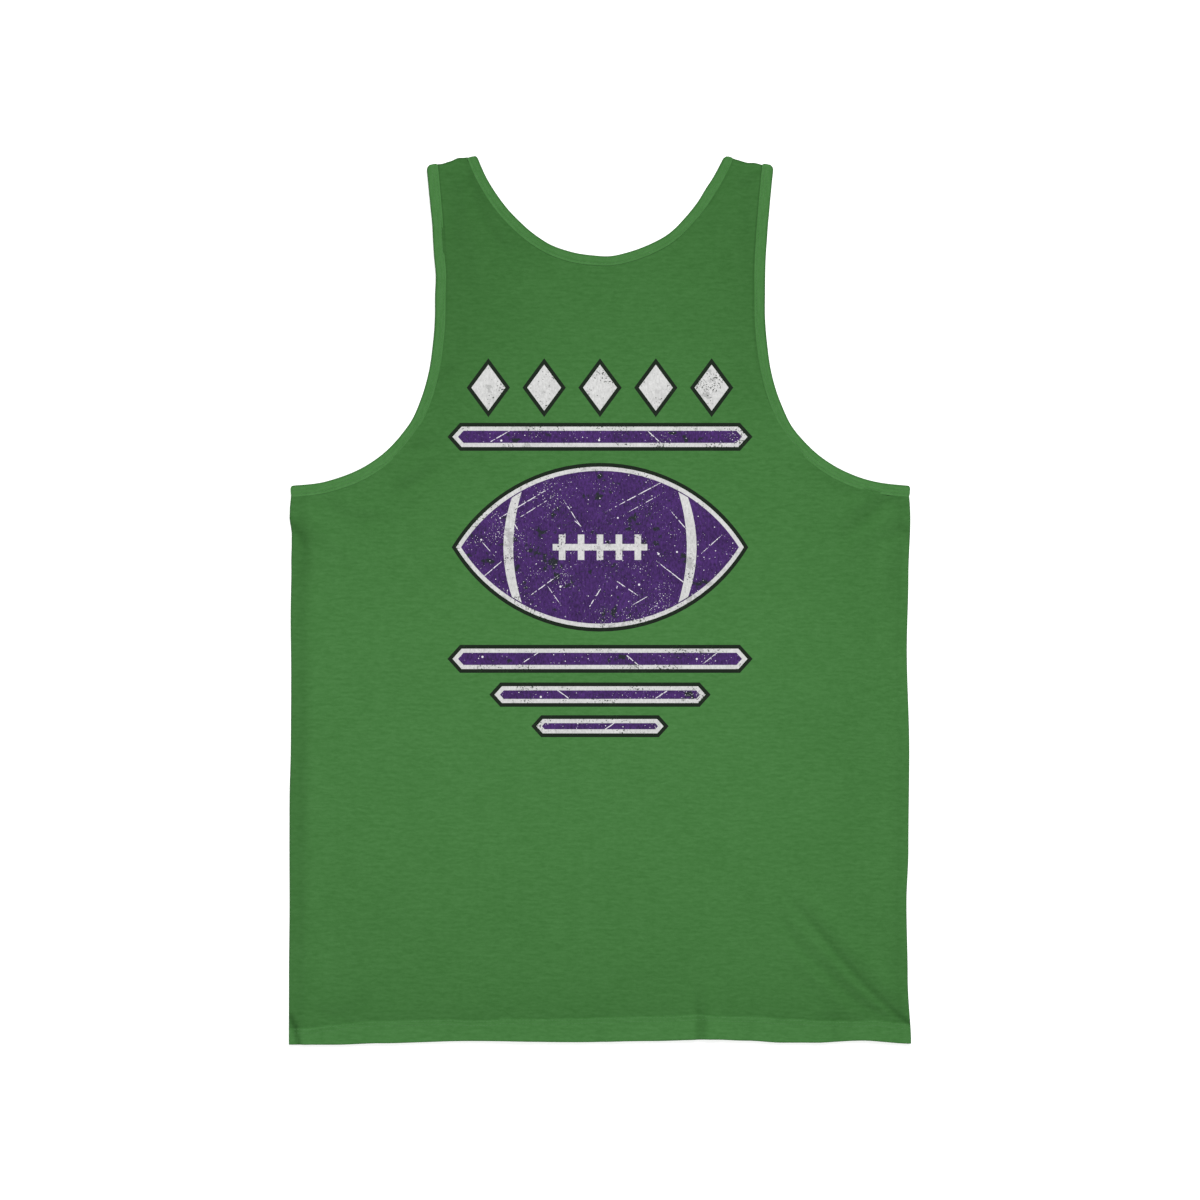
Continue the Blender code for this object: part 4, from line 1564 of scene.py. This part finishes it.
    def build(self, finish: Jersey) -> Piece:
        """Args:
            finish: Its cloth.

        Returns:
            The binding.
        """
        opening, panel, normal = self.stations()
        section = self.section()
        distance, outward = section.T
        length = np.cumsum(np.linalg.norm(panel - np.roll(panel, 1, axis=0), axis=1))
        across = unit(panel - opening)
        flat_share = (np.abs(normal[:, 2]) ** 4)[:, None]
        puckers = [noise.noise(Vector((at, self.width, 0.0))) for at in length / self.pucker_length]
        sways = [noise.noise(Vector((at, 0.0, self.width))) for at in length / self.sway_length]
        swell = self.pucker * np.array(puckers)[:, None] * flat_share
        lift = outward + swell * np.sign(outward) * np.minimum(np.abs(outward), self.pucker_reach)
        inwards = distance + self.sway * np.array(sways)[:, None] * flat_share
        points = opening[:, None] + across[:, None] * inwards[..., None]
        points = (points + normal[:, None] * lift[..., None]).reshape(-1, 3)
        points = self.round_corners(points, across, opening, normal)
        ring = np.arange(len(points)).reshape(len(opening), len(section))
        ahead = np.roll(ring, -1, axis=0)
        faces = np.stack([ring, ahead, np.roll(ahead, -1, axis=1), np.roll(ring, -1, axis=1)], axis=-1)
        piece = add_mesh(f"{self.name}_cloth", settled(points), faces.reshape(-1, 4).tolist())
        activate(piece)
        edit_all()
        face_outwards()
        flat = np.broadcast_arrays(length[:, None], distance + self.back_face * (outward < 0))
        shade = self.shade(distance, opening, normal)
        add_cloth_maps(piece.data, np.stack(flat, axis=-1).reshape(-1, 2), shade.ravel())
        finish_piece(piece, finish.build())
        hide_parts(self.name)
        unfolded = 2 * (self.width + self.overlap) + self.thickness
        self.flat_size = (unfolded * MM, float(length[-1]) * MM)
        LOG.info("%s: cut %.1f x %.0f mm", self.name, *(size / MM for size in self.flat_size))
        return piece

    def round_corners(self, points: Array, across: Array, opening: Array, normal: Array) -> Array:
        """Rounds the strip's two outer corners, seen from above, where it turns over at its ends.

        Args:
            points: The strip's points.
            across: Each station's direction from the opening to the panel.
            opening: The stations' places on the opening's edge.
            normal: The stations' outward directions.

        Returns:
            The rounded points.
        """
        ahead, aside = self.corner_margins
        for out, outer_corner in zip(self.ends(), self.corners):
            tip = int(np.argmax(normal[:, :2] @ out))
            side = unit(across[tip, :2] - out * (across[tip, :2] @ out))
            outer = opening[tip, :2] + out * self.thickness / 2
            inner = outer + side * (self.width + self.overlap)
            both = ((outer, side, outer_corner), (inner, -side, self.inner_corner))
            for corner, inside, radius in both:
                inwards = (corner - points[:, :2]) @ out
                beyond = (points[:, :2] - corner) @ inside
                near = (inwards < radius) & (beyond < radius) & (inwards > -ahead) & (beyond > -aside)
                from_centre = np.column_stack([radius - inwards, radius - beyond])
                square = np.max(np.abs(from_centre), axis=1)
                circle = np.maximum(np.linalg.norm(from_centre, axis=1), 1e-6)
                shift = from_centre * (square / circle - 1)[:, None]
                points[near, :2] += (shift[:, :1] * out - shift[:, 1:] * inside)[near]
        return points

    def shade(self, distance: Array, opening: Array, normal: Array) -> Array:
        """The painted shade of every point.

        Args:
            distance: How far each point of the section is from the opening.
            opening: The stations' places on the opening's edge.
            normal: The stations' outward directions.

        Returns:
            The painted shade, by station and point.
        """
        at = {"across": distance, "stitches": distance - self.width}
        at |= {"seam": distance - self.width - self.overlap, "up": normal[:, 1:2]}
        at |= {"x": opening[:, :1], "y": opening[:, 1:2], "half": np.abs(opening[:, :1])}
        by_seam = self.tone + self.seam_shade * bell(at["seam"], self.seam_width)
        return by_seam + shaded(BINDING_SHADOWS + self.shadows, at)

    def stitch_line(self, row: float, top: bool) -> Array:
        """A stitch row's line on the strip's outer face.

        Args:
            row: How far it runs from the panel's edge.
            top: Whether it is on the back run, or on the front one.

        Returns:
            Its points.
        """
        opening, panel, normal = self.stations()
        height = self.thickness / 2 - self.stitches_sunk
        line = opening + unit(panel - opening) * (self.width - row) + normal * height
        return line[normal[:, 2] * (1 if top else -1) > self.straight_down]


@dataclass
class NeckBinding(Binding):
    """The neckline's binding."""

    steps: int = 60
    shadows: Shadows = NECK_SHADOWS

    def run(self, layer: Layer) -> tuple[Array, Array]:
        """The neckline's two lines.

        Args:
            layer: The layer.

        Returns:
            The opening's edge and the panel's, from the left shoulder to the right one.
        """
        lines = []
        for inset in (0.0, self.width):
            half = self.pattern.neck_line(layer, inset, self.steps)
            half[-1] += unit(half[-2] - half[-1]) * (self.reach - self.shoulder_proud)
            lines.append(np.vstack([mirrored(half, Side.LEFT)[:0:-1], half]))
        return lines[0], lines[1]

    def ends(self) -> tuple[Array, Array]:
        """Over the left shoulder and over the right one."""
        return self.shoulder_normal(Side.LEFT), self.shoulder_normal(Side.RIGHT)


@dataclass
class ArmholeBinding(Binding):
    """An armhole's binding."""

    side: Side = Side.LEFT
    steps: int = 100
    underarm_proud: float = 0.3
    shadows: Shadows = ARMHOLE_SHADOWS
    tone: float = -0.02

    def run(self, layer: Layer) -> tuple[Array, Array]:
        """The armhole's two lines.

        Args:
            layer: The layer.

        Returns:
            The opening's edge and the panel's, from the underarm to the shoulder.
        """
        lines = []
        for inset in (0.0, self.width):
            line = self.pattern.armhole_line(layer, inset, self.steps)
            up, down = unit(line[1] - line[0]), unit(line[-2] - line[-1])
            line[0] += up * (self.reach - self.underarm_proud)
            line[-1] += down * (self.reach - self.shoulder_proud)
            lines.append(mirrored(line, self.side))
        return lines[0], lines[1]

    def ends(self) -> tuple[Array, Array]:
        """Round the underarm and over the shoulder."""
        return np.array([self.side.value, 0.0]), self.shoulder_normal(self.side)


@dataclass
class Stitching:
    """Rows of lock stitches, each stitch a small rounded bead of thread."""

    pitch: float = 2.7
    length: float = 2.15
    thickness: float = 0.42
    flatness: float = 0.8
    sides: int = 6
    rings: int = 5
    reach: float = 0.6
    hem_rows: Pair = (4.8, 1.8)
    hem_steps: int = 320
    hem_end: float = 1.6
    sunk: float = 0.06

    def bead(self) -> Piece:
        """Makes one stitch.

        Returns:
            A slim bead, a little flattened, along X at the origin.
        """
        bpy.ops.object.select_all(action="DESELECT")
        size = {"segments": self.sides, "ring_count": self.rings, "radius": MM / 2}
        bpy.ops.mesh.primitive_uv_sphere_add(**size)
        edit_all()
        bpy.ops.transform.rotate(value=math.pi / 2, orient_axis="Y", center_override=(0, 0, 0))
        bpy.ops.transform.resize(value=(self.length, self.thickness, self.thickness * self.flatness))
        bpy.ops.object.mode_set(mode="OBJECT")
        return bpy.context.object

    def sew(self, name: str, lines: Sequence[tuple[Array, Array]], finish: Thread) -> Piece:
        """Copies the stitch along some lines and joins the copies.

        Args:
            name: The new piece's name.
            lines: Each row's points, and the outward direction at each.
            finish: The thread.

        Returns:
            The piece that holds every stitch.
        """
        bead = self.bead()
        shape = np.array([vertex.co for vertex in bead.data.vertices]) / MM
        beads = [tuple(polygon.vertices) for polygon in bead.data.polygons]
        bpy.data.objects.remove(bead, do_unlink=True)
        points: list[Array] = []
        faces: list[Face] = []
        for line, normals in lines:
            for centre, along, out in self.places(settled(line), normals):
                start = len(points) * len(shape)
                side = np.cross(out, along)
                points.append(centre + shape @ np.array([along, side, np.cross(along, side)]))
                faces += [tuple(start + corner for corner in face) for face in beads]
        return finish_piece(add_mesh(name, np.vstack(points), faces), finish.build())

    def places(self, line: Array, normals: Array) -> list[tuple[Array, Array, Array]]:
        """Places the stitches along a line.

        Args:
            line: Its points.
            normals: The outward direction at each.

        Returns:
            Each stitch's middle, direction and outward direction.
        """
        lengths = lengths_along(line)

        def at(values: Array, place: float) -> Array:
            """The values at a length along the line."""
            return np.array([np.interp(place, lengths, column) for column in values.T])

        count = int((lengths[-1] - self.length) / self.pitch)
        start = (lengths[-1] - count * self.pitch) / 2
        found = []
        for place in start + np.arange(count + 1) * self.pitch:
            along = unit(at(line, place + self.reach) - at(line, place - self.reach))
            out = at(normals, place)
            found.append((at(line, place), along, unit(out - along * (out @ along))))
        return found

    def hem_row(self, cut: Pattern, panel: Piece, below: float, face_up: bool) -> tuple[Array, Array]:
        """A stitch row along a turned hem, on the panel's outer face.

        Args:
            cut: The garment's cut.
            panel: The panel to sew.
            below: How far under the hem's top the row runs.
            face_up: Whether the outer face looks up.

        Returns:
            The row's points and the outward direction at each.
        """
        tree = BVHTree.FromObject(panel, bpy.context.evaluated_depsgraph_get())
        end = cut.half_chest - self.hem_end
        x = np.linspace(-end, end, self.hem_steps)
        y = cut.hem_y + read_table(HEM_RISE, x) + read_table(HEM_TOP, x) - below
        sign = 1.0 if face_up else -1.0
        points, normals = [], []
        for place in zip(x * MM, y * MM):
            hit, normal, _, _ = tree.ray_cast(Vector((*place, CLEAR * sign)), Vector((0, 0, -sign)))
            points.append(np.array(hit) / MM - np.array([0, 0, sign * self.sunk]))
            normals.append(np.array(normal))
        return np.array(points), np.array(normals)


def centred(count: int, pitch: float) -> list[float]:
    """The places of some parts at an even pitch, about 0."""
    return [(index - (count - 1) / 2) * pitch for index in range(count)]


def grown(outline: Outline, distance: float) -> Outline:
    """A convex outline with every edge moved outwards by a distance.

    Args:
        outline: The corners, anticlockwise.
        distance: How far the edges move.

    Returns:
        The new corners, each where two moved edges meet.
    """
    corners = np.array(outline)
    edges = unit(np.roll(corners, -1, axis=0) - corners)
    after = np.stack([edges[:, 1], -edges[:, 0]], axis=1)
    before = np.roll(after, 1, axis=0)
    miter = (before + after) / (1 + np.sum(before * after, axis=1))[:, None]
    return [tuple(point) for point in corners + miter * distance]


@dataclass(frozen=True)
class Print:
    """A plain sports print: five lozenges, a ball between bars, in three inks laid one on another."""

    width: float = 247.0
    low: float = -115.0
    high: float = 205.0
    white_border: float = 3.4
    dark_border: float = 3.1
    lozenge_y: float = 175.0
    lozenge_size: Pair = (28.0, 38.0)
    lozenge_pitch: float = 46.0
    lozenges: int = 5
    ball_y: float = 43.5
    ball_height: float = 138.0
    ball_inset: Pair = (9.0, 6.0)
    bars: tuple[Triple, ...] = (
        (134.5, 23.0, 1.0), (-48.5, 23.0, 1.0), (-78.0, 20.0, 0.72), (-104.0, 18.0, 0.44),
    )
    bar_point: float = 0.9
    lace_length: float = 78.0
    lace_width: float = 5.4
    lace_ties: int = 5
    lace_tie: float = 21.0
    stripe_place: float = 0.66
    stripe_width: float = 8.0
    stripe_bow: float = 7.0
    stripe_steps: int = 17
    stripe_gap: float = 1.0
    cell: float = 5.0
    lifts: tuple[float, ...] = (0.06, 0.12, 0.18)
    film: float = 0.05
    arc_steps: int = 40
    soft_angle: float = 40.0

    def lozenge(self, x: float) -> Outline:
        """A lozenge's outline."""
        half_width, half_height = self.lozenge_size[0] / 2, self.lozenge_size[1] / 2
        y = self.lozenge_y
        return [(x + half_width, y), (x, y + half_height), (x - half_width, y), (x, y - half_height)]

    def bar(self, y: float, height: float, share: float) -> Outline:
        """A bar's outline, with pointed ends.

        Args:
            y: Its middle.
            height: Its height with its borders.
            share: Its share of the print's width.

        Returns:
            The outline.
        """
        border = self.white_border + self.dark_border
        end, half = self.width / 2 * share - border, height / 2 - border
        inner, top, bottom = end - half * self.bar_point, y + half, y - half
        return [(end, y), (inner, top), (-inner, top), (-end, y), (-inner, bottom), (inner, bottom)]

    @property
    def ball_halves(self) -> Pair:
        """Half the ball's width and half its height."""
        return self.width / 2 - self.ball_inset[0], self.ball_height / 2 - self.ball_inset[1]

    def ball_half(self, x: float) -> float:
        """Half the ball's height at a place across."""
        half_width, half_height = self.ball_halves
        radius = (half_width**2 + half_height**2) / (2 * half_height)
        return math.sqrt(max(radius**2 - x**2, 0)) - (radius - half_height)

    def ball(self) -> Outline:
        """The ball's outline: two arcs that meet in a point at each end."""
        across = self.ball_halves[0] * np.cos(np.linspace(0, math.pi, self.arc_steps + 1))
        top = [(x, self.ball_y + self.ball_half(x)) for x in across.tolist()]
        return top + [(x, 2 * self.ball_y - y) for x, y in reversed(top[1:-1])]

    def stripe(self, side: Side) -> Outline:
        """A bowed stripe round one end of the ball.

        Args:
            side: Which end.

        Returns:
            The outline.
        """
        centre = self.stripe_place * self.ball_halves[0]
        edges = []
        for place in (centre - self.stripe_width / 2, centre + self.stripe_width / 2):
            limit = self.ball_half(place - self.stripe_bow) - self.stripe_gap
            y = np.linspace(-limit, limit, self.stripe_steps)
            edges.append(np.column_stack([place - self.stripe_bow * (y / limit) ** 2, y + self.ball_y]))
        outline = mirrored(np.vstack([edges[0][::-1], edges[1]]), side)
        return [tuple(point) for point in outline[:: side.value]]

    def block(self, x: float, half_width: float, half_height: float) -> Outline:
        """An upright block round a place on the ball's middle line.

        Args:
            x: The place.
            half_width: Half its width.
            half_height: Half its height.

        Returns:
            The outline.
        """
        left, right = x - half_width, x + half_width
        low, high = self.ball_y - half_height, self.ball_y + half_height
        return [(left, low), (right, low), (right, high), (left, high)]

    def laces(self) -> list[Outline]:
        """Sets out the lacing.

        Returns:
            The outlines of a long bar and of the ties across it.
        """
        half_lace = self.lace_width / 2
        ties = centred(self.lace_ties, self.lace_length / self.lace_ties)
        starts = [-self.lace_length / 2, *(x + half_lace for x in ties)]
        ends = [*(x - half_lace for x in ties), self.lace_length / 2]
        blocks = [self.block(x, half_lace, self.lace_tie / 2) for x in ties]
        return blocks + [self.block((a + b) / 2, (b - a) / 2, half_lace) for a, b in zip(starts, ends)]

    def outlines(self, slot: Slot) -> list[Outline]:
        """Every outline that an ink fills.

        Args:
            slot: The ink's slot.

        Returns:
            The outlines.
        """
        white = [self.lozenge(x) for x in centred(self.lozenges, self.lozenge_pitch)]
        purple = [self.ball(), *(self.bar(*bar) for bar in self.bars)]
        if slot is Slot.PURPLE:
            return purple
        if slot is Slot.WHITE:
            return white + [grown(shape, self.white_border) for shape in purple]
        borders = [grown(shape, self.white_border + self.dark_border) for shape in purple]
        return [grown(shape, self.dark_border) for shape in white] + borders

    def film_on(self, name: str, outlines: Sequence[Outline], lift: float, panel: Piece) -> Piece:
        """Lays a thin film of some outlines on a panel.

        Args:
            name: The film's name.
            outlines: What it fills.
            lift: How far its upper face stands above the cloth.
            panel: The panel under it.

        Returns:
            The film.
        """
        shapes = []
        for outline in outlines:
            bpy.ops.object.select_all(action="DESELECT")
            bpy.ops.mesh.primitive_circle_add(vertices=len(outline), radius=1.0, fill_type="NGON")
            shapes.append(bpy.context.object)
            for vertex, (x, y) in zip(shapes[-1].data.vertices, outline):
                vertex.co = (x * MM, y * MM, CLEAR)
        activate(shapes[0])
        for shape in shapes:
            shape.select_set(True)
        bpy.ops.object.join()
        film = bpy.context.object
        film.name = name
        edit_all()
        spans = (((1, 0, 0), -self.width / 2, self.width / 2), ((0, 1, 0), self.low, self.high))
        for normal, low, high in spans:
            for place in np.arange(low, high, self.cell):
                bpy.ops.mesh.select_all(action="SELECT")
                bpy.ops.mesh.bisect(plane_co=tuple(np.array(normal) * place * MM), plane_no=normal)
        bpy.ops.mesh.select_all(action="SELECT")
        bpy.ops.mesh.quads_convert_to_tris()
        face_outwards()
        if film.data.polygons[0].normal.z < 0:
            film.data.flip_normals()
        wrap = film.modifiers.new("On the cloth", "SHRINKWRAP")
        wrap.target = panel
        wrap.wrap_method = "PROJECT"
        wrap.use_project_z = True
        wrap.use_negative_direction = True
        wrap.use_positive_direction = False
        wrap.offset = lift * MM
        wall = film.modifiers.new("Film", "SOLIDIFY")
        wall.thickness = self.film * MM
        wall.offset = -1.0
        apply_modifiers(film)
        bpy.ops.object.shade_smooth_by_angle(angle=math.radians(self.soft_angle))
        return film

    def build(self, panel: Piece) -> list[Piece]:
        """Prints the three inks on the back panel.

        Args:
            panel: The panel.

        Returns:
            The films of ink.
        """
        inks = ((Slot.DARK, DARK_INK), (Slot.WHITE, WHITE_INK), (Slot.PURPLE, PURPLE_INK))
        films = []
        for (slot, ink), lift in zip(inks, self.lifts):
            film = self.film_on(f"print_{slot.value}", self.outlines(slot), lift, panel)
            films.append(finish_piece(film, ink.build()))
        details = [self.stripe(Side.LEFT), self.stripe(Side.RIGHT), *self.laces()]
        film = self.film_on("print_ball_details", details, self.lifts[-1] + self.lifts[0], panel)
        return [*films, finish_piece(film, WORN_INK.build())]


@dataclass(frozen=True)
class Studio:
    """The pale floor, the soft lights and the camera straight above the garment."""

    frame_width: float = 0.99
    camera_height: float = 3.2
    sensor: float = 36.0
    floor_size: float = 8.0
    floor_drop: float = 0.0003
    floor_level: float = 0.9
    floor_unevenness: float = 0.01
    floor_roughness: float = 0.9
    floor_glow: float = 0.5
    sky: float = 0.44

    def camera(self) -> None:
        """The camera: it looks straight down, and its frame is the photograph's."""
        data = bpy.data.cameras.new("Camera")
        data.sensor_width = self.sensor
        data.lens = self.sensor * self.camera_height / self.frame_width
        camera = bpy.data.objects.new("Camera", data)
        camera.location = (0.0, 0.0, self.camera_height)
        bpy.context.scene.collection.objects.link(camera)
        bpy.context.scene.camera = camera

    def floor(self) -> None:
        """A plain pale floor just under the garment."""
        bpy.ops.object.select_all(action="DESELECT")
        bpy.ops.mesh.primitive_plane_add(size=self.floor_size, location=(0, 0, -self.floor_drop))
        floor = bpy.context.object
        floor.name = "floor"
        bpy.ops.object.transform_apply(location=True, rotation=False, scale=False)
        graph = Graph("Pale floor")
        low = self.floor_level - self.floor_unevenness / 2
        level = graph.plus(low, graph.noise(graph.place(), scale=3.0), self.floor_unevenness)
        looks = {
            "Base Color": graph.node("CombineColor", {0: level, 1: level, 2: level}).outputs[0],
            "Roughness": self.floor_roughness,
            "Specular IOR Level": 0.0,
            "Emission Color": (1.0, 1.0, 1.0, 1.0),
            "Emission Strength": self.floor_glow,
        }
        floor.data.materials.append(graph.surface(looks))

    def light(self, name: str, place: Triple, size: float, power: float) -> None:
        """Hangs a square soft light that faces the garment.

        Args:
            name: Its name.
            place: Where it hangs, in metres.
            size: Its side, in metres.
            power: Its power, in watts.
        """
        data = bpy.data.lights.new(name, "AREA")
        data.size = size
        data.energy = power
        lamp = bpy.data.objects.new(name, data)
        lamp.location = place
        lamp.rotation_euler = (-Vector(place)).to_track_quat("-Z", "Y").to_euler()
        bpy.context.scene.collection.objects.link(lamp)

    def build(self) -> None:
        """Sets the whole studio."""
        scene = bpy.context.scene
        scene.view_settings.view_transform = "Standard"
        world = bpy.data.worlds.new("Soft room")
        world.use_nodes = True
        backdrop = world.node_tree.nodes["Background"]
        backdrop.inputs["Color"].default_value = (1.0, 1.0, 1.0, 1.0)
        backdrop.inputs["Strength"].default_value = self.sky
        scene.world = world
        self.camera()
        self.floor()
        self.light("key", (1.3, 3.9, 4.6), size=2.2, power=277.0)
        self.light("fill", (-2.6, -1.6, 4.4), size=2.6, power=52.0)


@dataclass
class TankTop:
    """The whole garment."""

    pattern: Pattern = field(default_factory=Pattern)
    stitching: Stitching = field(default_factory=Stitching)

    def build(self) -> None:
        """Builds every piece in order."""
        relief = Relief(self.pattern)
        back = Panel(self.pattern, relief, Layer.BACK).build(BODY_JERSEY)
        coarser = {"columns": (24, 34), "body_rows": (36, 50), "chest_rows": 34, "strap_rows": 30}
        front = Panel(self.pattern, relief, Layer.FRONT, **coarser).build(BODY_JERSEY)
        on_back = [self.hem_stitches(back, face_up=True), *Print().build(back)]
        on_front = [self.hem_stitches(front, face_up=False)]
        self.bind(NeckBinding(self.pattern, "neck_binding", self.pattern.neck_binding))
        for side, proud, seam_shade in ((Side.LEFT, 0.3, -0.03), (Side.RIGHT, 1.1, 0.0)):
            name = f"armhole_binding_{side.name.lower()}"
            looks = {"side": side, "underarm_proud": proud, "seam_shade": seam_shade}
            self.bind(ArmholeBinding(self.pattern, name, self.pattern.armhole_binding, **looks))

    def hem_stitches(self, panel: Piece, face_up: bool) -> Piece:
        """Sews a panel's turned hem with two rows.

        Args:
            panel: The panel.
            face_up: Whether its outer face looks up.

        Returns:
            The stitches.
        """
        sewn = self.stitching
        rows = [sewn.hem_row(self.pattern, panel, below, face_up) for below in sewn.hem_rows]
        return sewn.sew(panel.name.replace("_panel_cloth", "_hem_stitches"), rows, SEAM_THREAD)

    def bind(self, binding: Binding) -> None:
        """Binds an opening, and sews its binding on both layers.

        Args:
            binding: The binding.
        """
        piece = binding.build(BINDING_JERSEY)
        rows = []
        for top in (True, False):
            for row in binding.stitch_rows:
                line = binding.stitch_line(row, top)
                rows.append((line, np.tile([0.0, 0.0, 1.0 if top else -1.0], (len(line), 1))))
        stitches = self.stitching.sew(f"{binding.name}_stitches", rows, SEAM_THREAD)


def main() -> None:
    """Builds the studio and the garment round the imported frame."""
    logging.basicConfig(level=logging.INFO, format="%(relativeCreated)d ms %(name)s: %(message)s")
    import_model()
    bpy.ops.object.select_all(action="DESELECT")
    Studio().build()
    TankTop().build()


if __name__ == "__main__":
    main()
